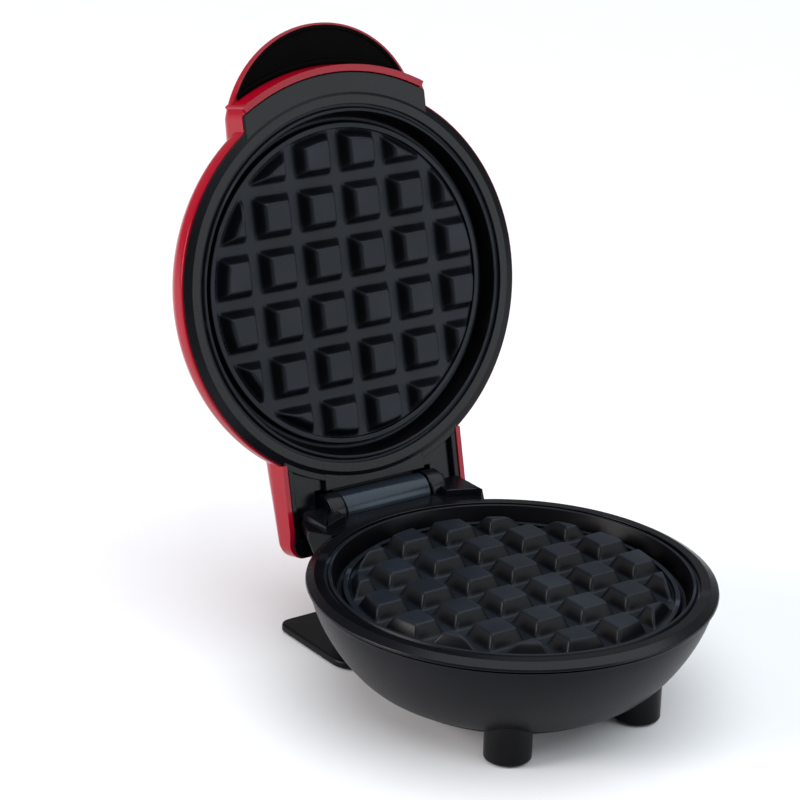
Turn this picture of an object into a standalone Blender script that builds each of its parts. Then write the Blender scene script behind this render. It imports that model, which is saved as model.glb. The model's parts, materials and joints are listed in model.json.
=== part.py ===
"""A mini waffle maker with its lid open, built piece by piece.

Every piece is modelled in one shared frame, the parting frame: its origin is the centre of the
baking plates, z = 0 is the plane where the two halves meet, +X runs along the hinge and -Y points
to the handle. The base hangs under that plane and the lid stands over it, as when it is closed.
The lid's pieces are children of an empty on the hinge axis, and that empty is turned to open it.
A depth is a distance from the parting plane into either half.
"""

import math

import bmesh
import bpy
from mathutils import Matrix, Vector

# Driving sizes, in metres
BODY_RADIUS = 0.0635
RIM_HEIGHT = 0.0415
OPEN_ANGLE = math.radians(103)
GAP = 0.0003
FACE_DEPTH = GAP / 2
OVERRUN = 0.002
TURN_STEPS = 40
ROUND_STEPS = 16
SMALL_STEPS = 8
MERGE = 0.00001
SHARP_ANGLE = math.radians(35)

# Hinge: the axis, the lid's barrel and the base's two lugs
HINGE_OFFSET = 0.0077
HINGE_Y = BODY_RADIUS + HINGE_OFFSET
HINGE_DROP = 0.0005
PIN_RADIUS = 0.00175
PIN_END = 0.0006
BARREL_RADIUS = 0.0058
BARREL_HALF = 0.0165
LUG_RADIUS = 0.0062
LUG_WIDTH = 0.0055
LUG_CLEARANCE = 0.0004
LUG_INNER = BARREL_HALF + LUG_CLEARANCE
LUG_OUTER = LUG_INNER + LUG_WIDTH

# Ring section that the base rim and the lid housing share
RIM_WIDTH = 0.0033
RIM_ROUND = 0.0012
LID_ROUND = 0.0008
RIM_EDGE_DEPTH = 0.0024
RIM_OVERHANG = 0.0024
RIM_INNER = BODY_RADIUS - RIM_WIDTH
LEDGE_THICKNESS = 0.0012
WELL_WALL = 0.0012
SHELF_THICKNESS = 0.0016

# Baking plates
LIP_DEPTH = 0.0012
LIP_THICKNESS = 0.0012
LIP_WIDTH = 0.0033
LIP_RADIUS = RIM_INNER - GAP
PLATE_RADIUS = LIP_RADIUS - LIP_WIDTH
CREST_INSET = 0.0021
CREST_STEP = 0.00035
CREST_OUTER = PLATE_RADIUS - CREST_STEP
CREST_WIDTH = 0.0008
WALL_RUN = 0.0019
CHANNEL_WIDTH = 0.0042
GROOVE_DEPTH = 0.0052
FLOOR_THICKNESS = 0.0029
FLOOR_FILLET = 0.0008
BACK_DEPTH = GROOVE_DEPTH + FLOOR_THICKNESS
FLOOR_RADIUS = CREST_OUTER - CREST_WIDTH - WALL_RUN
GRID_RADIUS = FLOOR_RADIUS - CHANNEL_WIDTH
GRID_PITCH = 0.0171
GRID_HALF_COUNT = 3
POST_HEIGHT = 0.0047
POST_BASE = 0.0134
POST_TOP = 0.0093
POST_ROOT = 0.0006
LEDGE_DEPTH = LIP_DEPTH + LIP_THICKNESS + GAP
WELL_INNER = PLATE_RADIUS + GAP
WELL_OUTER = WELL_INNER + WELL_WALL
SHELF_DEPTH = BACK_DEPTH + GAP
SHELF_BACK = SHELF_DEPTH + SHELF_THICKNESS

# Bowl of the base
BOWL_TOP_INSET = 0.0011
BOWL_TOP_RADIUS = BODY_RADIUS - BOWL_TOP_INSET
BOWL_TOP_DEPTH = RIM_EDGE_DEPTH + GAP
BOWL_FLOOR_SHARE = 0.693
BOWL_FLOOR_RADIUS = BODY_RADIUS * BOWL_FLOOR_SHARE
BOWL_DEPTH = 0.0315
BOWL_WALL = 0.0018
BOWL_DOWN_POWER = 1.44
BOWL_OUT_POWER = 1.30
BOWL_STEPS = 5
LAND_WIDTH = 0.0120
LAND_INNER = BOWL_FLOOR_RADIUS - LAND_WIDTH

# Screw bosses, shared by the base and the lid
BOSS_RADIUS = 0.0036
BOSS_INSET = 0.0080
BOSS_CIRCLE = BOWL_FLOOR_RADIUS - BOSS_INSET
BOSS_ANGLE = math.radians(24)
SHELF_MARGIN = 0.0011
SHELF_INNER = BOSS_CIRCLE - BOSS_RADIUS - SHELF_MARGIN
SCREW_RADIUS = 0.0014
SCREW_HOLE = 0.0019
SCREW_BORE = 0.0017
SCREW_HEAD_RADIUS = 0.0028
SCREW_HEAD_HEIGHT = 0.0015
SCREW_BITE = 0.0080
HEAD_WELL_RADIUS = SCREW_HEAD_RADIUS + GAP + GAP

# Bottom cover with its two front legs and the rear stand
COVER_INSET = 0.0035
BOTTOM_RADIUS = BOWL_FLOOR_RADIUS - COVER_INSET
BOTTOM_WALL = 0.0016
BOTTOM_TOP = BOWL_DEPTH + GAP
BOTTOM_HEIGHT = 0.0025
BOTTOM_DEPTH = BOTTOM_TOP + BOTTOM_HEIGHT
BOTTOM_ROUND = 0.0012
HEAD_RECESS = 0.0012
SEAT_DEPTH = BOTTOM_DEPTH - HEAD_RECESS
LEG_INSET = 0.0026
LEG_CIRCLE = BOWL_FLOOR_RADIUS - LEG_INSET
LEG_ANGLE = math.radians(53)
LEG_FIT = 0.0005
LEG_RADIUS = 0.0073
LEG_ROUND = 0.0009
LEG_RISE = 0.0030
PAD_STAND = 0.0006
PAD_SINK = 0.0009
LEG_DEPTH = RIM_HEIGHT - PAD_STAND
FRONT_PAD_RADIUS = 0.0056
REAR_PAD_RADIUS = 0.0045
INNER_BOSS_RADIUS = 0.0037
COLUMN_HALF = 0.0200
COLUMN_INSET = 0.0275
COLUMN_FRONT = BODY_RADIUS - COLUMN_INSET
COLUMN_REAR_INSET = 0.0027
COLUMN_REAR = HINGE_Y - COLUMN_REAR_INSET
COLUMN_TOP = 0.0260
COLUMN_ROUND = 0.0050
STAND_HALF = 0.0345
STAND_INSET = 0.0255
STAND_FRONT = BODY_RADIUS - STAND_INSET
STAND_REACH = 0.0073
STAND_REAR = HINGE_Y + STAND_REACH
STAND_THICKNESS = 0.0025
STAND_ROUND = 0.0040
REAR_PAD_INSET = 0.0085

# Hinge block behind the bowl, part of the base rim
BLOCK_HALF = 0.0220
BLOCK_INSET = 0.0235
BLOCK_FRONT = BODY_RADIUS - BLOCK_INSET
BLOCK_ROUND = 0.0040
GUSSET_HALF = 0.0345
GUSSET_CORNER_INSET = 0.0020
GUSSET_REAR_HALF = 0.0310
GUSSET_REAR_INSET = 0.0007
GUSSET_FRONT_HALF = 0.0300
GUSSET_FRONT_INSET = 0.0090
GUSSET_THICKNESS = 0.0028
GUSSET_DEPTH = FACE_DEPTH + GAP
GUSSET_FOOT_DEPTH = 0.0120
GUSSET_TAPER = 0.0030
EAR_HALF = 0.0307
EAR_INNER = 0.0200
EAR_RISE = 0.0020
EAR_REAR_INSET = 0.0003
EAR_ROOM = 0.0007
BUSHING_RADIUS = 0.0036
BUSHING_FLANGE = 0.0050
BUSHING_LENGTH = 0.0075
BUSHING_LIFT = 0.0055
CORD_BORE = 0.0018

# Lid cover: dome, handle visor and tail
COVER_OVERHANG = 0.0005
COVER_RADIUS = BODY_RADIUS + COVER_OVERHANG
COVER_WALL = 0.0022
LID_LIP_DEPTH = 0.0010
COVER_BOTTOM = LID_LIP_DEPTH + GAP
LID_CORE = COVER_RADIUS - COVER_WALL - GAP
SKIRT_TOP = 0.0046
DOME_HEIGHT = 0.0281
DOME_OUT_POWER = 2.30
DOME_UP_POWER = 1.88
DOME_STEPS = 7
VISOR_HALF = 0.0350
VISOR_SETBACK = 0.0135
VISOR_CENTRE = BODY_RADIUS - VISOR_SETBACK
VISOR_SEMI_X = 0.0360
VISOR_SEMI_Y = 0.0340
ROOT_SETBACK = 0.0185
VISOR_ROOT = BODY_RADIUS - ROOT_SETBACK
VISOR_CROWN = 0.0195
VISOR_FALL = 0.0082
VISOR_SIDE = 0.0095
VISOR_WALL = 0.0018
VISOR_RIM = 0.0079
VISOR_BOTTOM = FACE_DEPTH
VISOR_STEPS = 13
FALL_POWER = 1.3
EDGE_POWER = 7.0
GRIP_OFFSET = 0.0042
GRIP_THICKNESS = 0.0022
GRIP_WALL_INNER = COVER_RADIUS + GRIP_OFFSET
GRIP_WALL_OUTER = GRIP_WALL_INNER + GRIP_THICKNESS
TAIL_HALF = 0.0350
TAIL_ROOT = BODY_RADIUS - ROOT_SETBACK
TAIL_REACH = 0.0133
TAIL_REAR = HINGE_Y + TAIL_REACH
TAIL_ROUND = 0.0050
TAIL_CROWN = 0.0190
TAIL_FALL = 0.0075
TAIL_SIDE = 0.0065
TAIL_WALL = 0.0017
TAIL_TOP_WALL = 0.0022
BONNET_SHARES = (1.0, 0.98, 0.93, 0.80, 0.52, 0.10)
COVER_BOSS_DEPTH = 0.0133
BOSS_SKIN = 0.0006

# Lid housing: flap, window, barrel web and front land
FRAME_THICKNESS = 0.0023
FRAME_DEPTH = FACE_DEPTH + GAP
WINDOW_HALF = 0.0312
EAR_WINDOW_INNER = 0.0194
POCKET_LAP = 0.0005
POCKET_ROOM = 0.00035
POCKET_THICKNESS = 0.0016
FLAP_INSET = 0.0066
FLAP_EDGE = HINGE_Y - FLAP_INSET
WINDOW_REACH = 0.0073
WEB_THICKNESS = 0.0026
WEB_DEPTH = 0.0020
WEB_INSET = 0.0035
WEB_FRONT = BODY_RADIUS - WEB_INSET
HEAD_WELL_DEPTH = 0.0026
HEAD_WELL_FLOOR = 0.0016

# Heating element, heat shield, thermostat, fuse and terminal block
ELEMENT_INSET = 0.0072
ELEMENT_RADIUS = SHELF_INNER - ELEMENT_INSET
TUBE_RADIUS = 0.0032
TUBE_CLEARANCE = 0.0003
ELEMENT_DEPTH = BACK_DEPTH + TUBE_CLEARANCE + TUBE_RADIUS
TERMINAL_OFFSET = 0.0101
ELEMENT_OPEN_ANGLE = 2 * math.asin(TERMINAL_OFFSET / ELEMENT_RADIUS)
ELEMENT_POINTS = 20
TERMINAL_RISE = 0.0055
TERMINAL_BEND = 0.0040
TERMINAL_ROOM = 0.0010
SHIELD_THICKNESS = 0.0008
SHIELD_FLANGE_DEPTH = SHELF_BACK + GAP
SHIELD_FLANGE_MARGIN = 0.0025
SHIELD_WALL_RUN = 0.0015
SHIELD_DROP = 0.0060
SHIELD_HOLE = 0.0095
PLATE_SCREW_INSET = 0.0061
PLATE_SCREW_CIRCLE = PLATE_RADIUS - PLATE_SCREW_INSET
PLATE_SCREW_COUNT = 3
PLATE_SCREW_START = math.radians(90)
PLATE_SCREW_BITE = 0.0019
PLATE_BORE_SKIN = 0.0003
THERMOSTAT_RADIUS = 0.0080
THERMOSTAT_CAP = 0.0042
THERMOSTAT_BODY_RADIUS = 0.0062
THERMOSTAT_BODY = 0.0055
BLADE_WIDTH = 0.0040
BLADE_THICKNESS = 0.0008
BLADE_LENGTH = 0.0060
BLADE_SPACING = 0.0060
FUSE_RADIUS = 0.0021
FUSE_ROOM = 0.0004
FUSE_Y = THERMOSTAT_RADIUS + FUSE_RADIUS + FUSE_ROOM
FUSE_REACH = ELEMENT_RADIUS - TUBE_RADIUS - FUSE_ROOM
FUSE_LENGTH = 2 * math.sqrt(FUSE_REACH ** 2 - (FUSE_Y + FUSE_RADIUS) ** 2)
TERMINAL_WIDTH = 0.0300
TERMINAL_DEPTH = 0.0130
TERMINAL_HEIGHT = 0.0090
TERMINAL_Y = 0.0120
TERMINAL_WAYS = 3
TERMINAL_WELL_RADIUS = 0.0022
TERMINAL_WELL_DEPTH = 0.0060

# Indicator lamp and lens in the top of the lid
LENS_Y = -0.0330
LENS_RADIUS = 0.0030
LENS_CROWN = 0.0006
LENS_FLANGE = 0.0044
LENS_FLANGE_THICKNESS = 0.0012
LENS_FLANGE_DROP = 0.0012
LENS_STEPS = 3
LAMP_RADIUS = 0.0017
LAMP_LENGTH = 0.0100

CORNERS = ("front_left", "front_right", "rear_left", "rear_right")
PARTS = bpy.data.collections.new("mini_waffle_maker")
CUTTERS = bpy.data.collections.new("cutters")


def clear_scene():
    """Remove the objects of the scene and add the two collections."""
    for old in list(bpy.data.objects):
        bpy.data.objects.remove(old, do_unlink=True)
    bpy.context.scene.collection.children.link(PARTS)
    bpy.context.scene.collection.children.link(CUTTERS)


def finish(name, colour, roughness, metallic):
    """A Principled material of one colour."""
    made = bpy.data.materials.new(name)
    made.use_nodes = True
    shader = made.node_tree.nodes["Principled BSDF"]
    shader.inputs["Base Color"].default_value = (*colour, 1.0)
    shader.inputs["Roughness"].default_value = roughness
    shader.inputs["Metallic"].default_value = metallic
    return made


def add_object(name, mesh, parent, made=None):
    """Put a mesh in the model, or among the cutters if it has no material."""
    obj = bpy.data.objects.new(name, mesh)
    if parent is not None:
        obj.parent = parent
        if parent.name == "lid_pivot":
            obj.location = (0, -HINGE_Y, HINGE_DROP)
    if made is None:
        CUTTERS.objects.link(obj)
        obj.hide_render = True
        obj.display_type = "WIRE"
    else:
        PARTS.objects.link(obj)
        obj.data.materials.append(made)
    return obj


def bake(obj):
    """Turn an object's modifiers into its mesh, and shade its rounds smooth."""
    shown = obj.evaluated_get(bpy.context.evaluated_depsgraph_get())
    mesh = bpy.data.meshes.new_from_object(shown)
    mesh.shade_smooth()
    mesh.set_sharp_from_angle(angle=SHARP_ANGLE)
    return mesh


def bake_all():
    """Bake every piece first, then put the meshes in and remove the cutters."""
    pieces = [obj for obj in PARTS.objects if obj.type == "MESH"]
    baked = [bake(obj) for obj in pieces]
    for obj, mesh in zip(pieces, baked):
        obj.modifiers.clear()
        mesh.name = obj.name
        obj.data = mesh
    for cutter in list(CUTTERS.objects):
        bpy.data.objects.remove(cutter, do_unlink=True)


def combine(target, tool, operation):
    """Cut, join or keep the common part of target and tool."""
    boolean = target.modifiers.new(operation.lower() + "_" + tool.name, "BOOLEAN")
    boolean.operation = operation
    boolean.object = tool
    boolean.solver = "EXACT"
    return target


def cut(target, *tools):
    for tool in tools:
        combine(target, tool, "DIFFERENCE")
    return target


def join(target, *tools):
    for tool in tools:
        combine(target, tool, "UNION")
    return target


def downward(profile):
    """Order a profile so that its outer side runs from top to bottom."""
    loop = list(profile)
    area = sum(a[0] * b[1] - b[0] * a[1] for a, b in zip(loop, loop[1:] + loop[:1]))
    return loop[::-1] if area > 0 else loop


def turned(name, profile, parent, made=None, steps=TURN_STEPS, centre=(0, 0)):
    """Turn a profile of (radius, z) points round the vertical axis."""
    points = downward(profile)
    on_axis = [i for i, point in enumerate(points) if point[0] == 0]
    if on_axis:
        last = max(on_axis) if (0 in on_axis and len(points) - 1 not in on_axis) else None
        if last is not None and last != 0:
            points = points[last:] + points[:last]
        elif last == 0:
            points = points + points[:1]
    edges = [(i, i + 1) for i in range(len(points) - 1)]
    if not on_axis:
        edges.append((len(points) - 1, 0))
    mesh = bpy.data.meshes.new(name)
    mesh.from_pydata([(radius, 0, z) for radius, z in points], edges, [])
    obj = add_object(name, mesh, parent, made)
    obj.location = Vector(obj.location) + Vector((centre[0], centre[1], 0))
    screw = obj.modifiers.new("turn", "SCREW")
    screw.axis = "Z"
    screw.angle = math.radians(360)
    screw.steps = steps
    screw.render_steps = steps
    screw.use_merge_vertices = True
    screw.merge_threshold = MERGE
    screw.use_smooth_shade = False
    return obj


def round_bar(name, radius, start, end, parent, made=None, steps=ROUND_STEPS, end_radius=None):
    """A cylinder or cone from one point to another."""
    start, end = Vector(start), Vector(end)
    along = end - start
    mesh = bpy.data.meshes.new(name)
    build = bmesh.new()
    turn = Vector((0, 0, 1)).rotation_difference(along).to_matrix().to_4x4()
    bmesh.ops.create_cone(build, cap_ends=True, segments=steps, radius1=radius,
                          radius2=radius if end_radius is None else end_radius,
                          depth=along.length,
                          matrix=Matrix.Translation((start + end) / 2) @ turn)
    build.to_mesh(mesh)
    build.free()
    return add_object(name, mesh, parent, made)


def block(name, low, high, parent, made=None):
    """A box between two corners."""
    low, high = Vector(low), Vector(high)
    mesh = bpy.data.meshes.new(name)
    build = bmesh.new()
    size = high - low
    place = Matrix.Translation((low + high) / 2) @ Matrix.Diagonal((*size, 1))
    bmesh.ops.create_cube(build, size=1, matrix=place)
    build.to_mesh(mesh)
    build.free()
    return add_object(name, mesh, parent, made)


def slab(name, outline, z_low, z_high, parent, made=None):
    """A flat outline, filled and extruded between two heights."""
    curve = bpy.data.curves.new(name, "CURVE")
    curve.dimensions = "2D"
    curve.fill_mode = "BOTH"
    curve.extrude = (z_high - z_low) / 2
    spline = curve.splines.new("POLY")
    spline.points.add(len(outline) - 1)
    for point, (x, y) in zip(spline.points, outline):
        point.co = (x, y, 0, 1)
    spline.use_cyclic_u = True
    flat = bpy.data.objects.new(name + "_outline", curve)
    CUTTERS.objects.link(flat)
    bpy.context.view_layer.update()
    evaluated = flat.evaluated_get(bpy.context.evaluated_depsgraph_get())
    mesh = bpy.data.meshes.new_from_object(evaluated)
    bpy.data.objects.remove(flat, do_unlink=True)
    build = bmesh.new()
    build.from_mesh(mesh)
    bmesh.ops.remove_doubles(build, verts=build.verts, dist=MERGE)
    bmesh.ops.translate(build, verts=build.verts, vec=(0, 0, (z_high + z_low) / 2))
    bmesh.ops.recalc_face_normals(build, faces=build.faces)
    build.to_mesh(mesh)
    build.free()
    return add_object(name, mesh, parent, made)


def rounded_outline(half, front, rear, radius, front_radius=0, steps=4):
    """Plan of a plate symmetric about x = 0, with rounded corners at its rear."""
    points = []
    corners = ((1, rear, radius, 0), (-1, rear, radius, 90))
    for side, y, corner, start in corners:
        for i in range(steps + 1):
            angle = math.radians(start + 90 * i / steps)
            points.append((side * (half - corner) + corner * math.cos(angle),
                           y - corner + corner * math.sin(angle)))
    for side, start in ((-1, 180), (1, 270)):
        if front_radius == 0:
            points.append((side * half, front))
            continue
        for i in range(steps + 1):
            angle = math.radians(start + 90 * i / steps)
            points.append((side * (half - front_radius) + front_radius * math.cos(angle),
                           front + front_radius + front_radius * math.sin(angle)))
    return points


def loft(name, rings, parent, made=None):
    """Skin closed rings of equal length, one above the next, and cap both ends."""
    build = bmesh.new()
    rows = [[build.verts.new(point) for point in ring] for ring in rings]
    count = len(rows[0])
    for low, high in zip(rows, rows[1:]):
        for i in range(count):
            j = (i + 1) % count
            build.faces.new((low[i], low[j], high[j], high[i]))
    build.faces.new(rows[0][::-1])
    build.faces.new(rows[-1])
    bmesh.ops.recalc_face_normals(build, faces=build.faces)
    mesh = bpy.data.meshes.new(name)
    build.to_mesh(mesh)
    build.free()
    return add_object(name, mesh, parent, made)


def arc(centre_r, centre_z, radius, start, end, steps):
    """Points of a round between two angles, in degrees, in a profile."""
    points = []
    for i in range(steps + 1):
        angle = math.radians(start + (end - start) * i / steps)
        points.append((centre_r + radius * math.cos(angle), centre_z + radius * math.sin(angle)))
    return points


def at_depth(profile, side):
    """Turn (radius, depth) points into (radius, z), side -1 for the base and +1 for the lid."""
    return [(radius, side * depth) for radius, depth in profile]


def boss_places():
    """Plan positions of the four screw bosses."""
    x = BOSS_CIRCLE * math.cos(BOSS_ANGLE)
    y = BOSS_CIRCLE * math.sin(BOSS_ANGLE)
    return [(sx * x, sy * y) for sy in (-1, 1) for sx in (-1, 1)]


def plate_screw_places():
    """Plan positions of the three screws of a baking plate."""
    places = []
    for i in range(PLATE_SCREW_COUNT):
        angle = PLATE_SCREW_START + math.radians(360) * i / PLATE_SCREW_COUNT
        places.append((PLATE_SCREW_CIRCLE * math.cos(angle), PLATE_SCREW_CIRCLE * math.sin(angle)))
    return places


def many_bars(name, places, radius, z_low, z_high, parent, steps=ROUND_STEPS):
    """Equal vertical cylinders at several places, in one cutter."""
    build = bmesh.new()
    for x, y in places:
        middle = Matrix.Translation((x, y, (z_low + z_high) / 2))
        bmesh.ops.create_cone(build, cap_ends=True, segments=steps, radius1=radius,
                              radius2=radius, depth=abs(z_high - z_low), matrix=middle)
    mesh = bpy.data.meshes.new(name)
    build.to_mesh(mesh)
    build.free()
    return add_object(name, mesh, parent)


def screws(stem, places, labels, side, head_depth, length, parent, made):
    """Pan head screws: heads from head_depth outwards, shanks pointing back by length."""
    crown = head_depth + SCREW_HEAD_HEIGHT
    profile = [(0, crown),
               (SCREW_HEAD_RADIUS - SCREW_RADIUS / 2, crown),
               (SCREW_HEAD_RADIUS, crown - SCREW_RADIUS / 2),
               (SCREW_HEAD_RADIUS, head_depth),
               (SCREW_RADIUS, head_depth),
               (SCREW_RADIUS, head_depth - length),
               (0, head_depth - length - SCREW_RADIUS)]
    for (x, y), label in zip(places, labels):
        turned(stem + "_" + label, at_depth(profile, side), parent, made, steps=SMALL_STEPS, centre=(x, y))


def ring_profile(rounding, lip_depth, core_radius):
    """Section of the ring that carries a plate: lip, ledge, well and shelf."""
    return ([(RIM_INNER, FACE_DEPTH)]
            + arc(BODY_RADIUS - rounding, FACE_DEPTH + rounding, rounding, -90, 0, 2)
            + [(BODY_RADIUS, lip_depth),
               (core_radius, lip_depth),
               (core_radius, LEDGE_DEPTH + LEDGE_THICKNESS),
               (WELL_OUTER, LEDGE_DEPTH + LEDGE_THICKNESS),
               (WELL_OUTER, SHELF_BACK),
               (SHELF_INNER, SHELF_BACK),
               (SHELF_INNER, SHELF_DEPTH),
               (WELL_INNER, SHELF_DEPTH),
               (WELL_INNER, LEDGE_DEPTH),
               (RIM_INNER, LEDGE_DEPTH)])


def baking_plate(name, side, parent, made):
    """Turned dish with a grid of drafted square posts, clipped to the round floor."""
    foot = LIP_RADIUS - CREST_INSET
    dish = [(0, GROOVE_DEPTH),
            (FLOOR_RADIUS - FLOOR_FILLET, GROOVE_DEPTH),
            (FLOOR_RADIUS + FLOOR_FILLET / 4, GROOVE_DEPTH - FLOOR_FILLET / 2),
            (CREST_OUTER - CREST_WIDTH, FACE_DEPTH),
            (CREST_OUTER, FACE_DEPTH),
            (foot, LIP_DEPTH),
            (LIP_RADIUS, LIP_DEPTH),
            (LIP_RADIUS, LIP_DEPTH + LIP_THICKNESS),
            (PLATE_RADIUS, LIP_DEPTH + LIP_THICKNESS),
            (PLATE_RADIUS, BACK_DEPTH),
            (0, BACK_DEPTH)]
    plate = turned(name, at_depth(dish, side), parent, made)
    posts = bmesh.new()
    half_diagonal_share = math.sqrt(0.5)
    foot_depth = GROOVE_DEPTH + POST_ROOT
    draft = (POST_BASE - POST_TOP) / POST_HEIGHT
    foot_width = POST_BASE + draft * POST_ROOT
    for i in range(-GRID_HALF_COUNT, GRID_HALF_COUNT):
        for j in range(-GRID_HALF_COUNT, GRID_HALF_COUNT):
            x, y = (i + 0.5) * GRID_PITCH, (j + 0.5) * GRID_PITCH
            inner_corner = math.hypot(abs(x) - POST_BASE / 2, abs(y) - POST_BASE / 2)
            if inner_corner > GRID_RADIUS - POST_HEIGHT:
                continue
            middle = side * (foot_depth - (POST_HEIGHT + POST_ROOT) / 2)
            ends = (foot_width, POST_TOP) if side < 0 else (POST_TOP, foot_width)
            turn = Matrix.Rotation(math.radians(45), 4, "Z")
            bmesh.ops.create_cone(posts, cap_ends=True, segments=4,
                                  radius1=ends[0] * half_diagonal_share,
                                  radius2=ends[1] * half_diagonal_share,
                                  depth=POST_HEIGHT + POST_ROOT,
                                  matrix=Matrix.Translation((x, y, middle)) @ turn)
    mesh = bpy.data.meshes.new(name + "_posts")
    posts.to_mesh(mesh)
    posts.free()
    grid = add_object(name + "_posts", mesh, parent)
    lean = draft / 2 * (POST_HEIGHT + OVERRUN)
    clip = turned(name + "_clip", at_depth([(0, GROOVE_DEPTH + OVERRUN),
                                            (GRID_RADIUS + lean / 4, GROOVE_DEPTH + OVERRUN),
                                            (GRID_RADIUS, GROOVE_DEPTH),
                                            (GRID_RADIUS - lean, -OVERRUN + FACE_DEPTH),
                                            (0, -OVERRUN + FACE_DEPTH)], side), parent)
    combine(grid, clip, "INTERSECT")
    join(plate, grid)
    bores = many_bars(name + "_bores", plate_screw_places(), SCREW_BORE,
                      side * (GROOVE_DEPTH + FLOOR_THICKNESS - PLATE_SCREW_BITE - PLATE_BORE_SKIN),
                      side * (BACK_DEPTH + OVERRUN), parent, steps=SMALL_STEPS)
    cut(plate, bores)
    return plate


def bowl_curve(inset, lift, extra=0):
    """Points of the bowl's wall, as superellipse shares of its height and width."""
    low_depth = BOWL_DEPTH - lift
    points = []
    for i in range(BOWL_STEPS + 1):
        share = math.sin(math.radians(90) * i / BOWL_STEPS)
        out_share = max(0.0, 1 - share ** BOWL_DOWN_POWER) ** (1 / BOWL_OUT_POWER)
        depth = BOWL_TOP_DEPTH + (low_depth - BOWL_TOP_DEPTH) * share
        width = BOWL_TOP_RADIUS - BOWL_FLOOR_RADIUS
        points.append((BOWL_FLOOR_RADIUS - inset + extra + width * out_share, depth))
    return points


def bowl_clearance(name, room, parent):
    """The bowl's outer shape and all inside it, larger by some room, as a cutter."""
    wall = bowl_curve(0, -room, room)
    profile = [(0, -OVERRUN), (wall[0][0], -OVERRUN)] + wall + [(0, BOWL_DEPTH + room)]
    return turned(name, at_depth(profile, -1), parent)


def base_bowl(parent, made):
    """The lower shell, open at the top, with a flat land round its bottom opening."""
    core = BODY_RADIUS - RIM_OVERHANG + GAP
    outer = bowl_curve(0, 0)
    step_depth = LEDGE_DEPTH + LEDGE_THICKNESS + GAP
    inner = [point for point in bowl_curve(BOWL_WALL, BOWL_WALL) if point[1] > step_depth + GAP]
    top_share = (step_depth - BOWL_TOP_DEPTH) / (BOWL_DEPTH - BOWL_WALL - BOWL_TOP_DEPTH)
    out_share = (1 - top_share ** BOWL_DOWN_POWER) ** (1 / BOWL_OUT_POWER)
    step_radius = (BOWL_FLOOR_RADIUS - BOWL_WALL
                   + (BOWL_TOP_RADIUS - BOWL_FLOOR_RADIUS) * out_share)
    profile = (outer + [(LAND_INNER, BOWL_DEPTH), (LAND_INNER, BOWL_DEPTH - BOWL_WALL)]
               + inner[::-1]
               + [(step_radius, step_depth), (core, step_depth), (core, BOWL_TOP_DEPTH)])
    shell = turned("base_bowl", at_depth(profile, -1), parent, made)
    holes = many_bars("bowl_screw_holes", boss_places(), SCREW_HOLE,
                      -(BOWL_DEPTH + OVERRUN), -(BOWL_DEPTH - BOWL_WALL - OVERRUN), parent, SMALL_STEPS)
    cut(shell, holes)
    return shell


def gusset_outline(taper, depth):
    """Plan of the rim's rear shoulders at a depth, narrower by a taper."""
    rear = HINGE_Y - GUSSET_REAR_INSET - taper
    corner = BODY_RADIUS - GUSSET_CORNER_INSET - taper / 2
    front = BODY_RADIUS - GUSSET_FRONT_INSET - taper
    half = [(GUSSET_FRONT_HALF - taper, front), (GUSSET_HALF - taper, corner),
            (GUSSET_REAR_HALF - taper, rear)]
    return [(x, y, -depth) for x, y in half] + [(-x, y, -depth) for x, y in half[::-1]]


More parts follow.
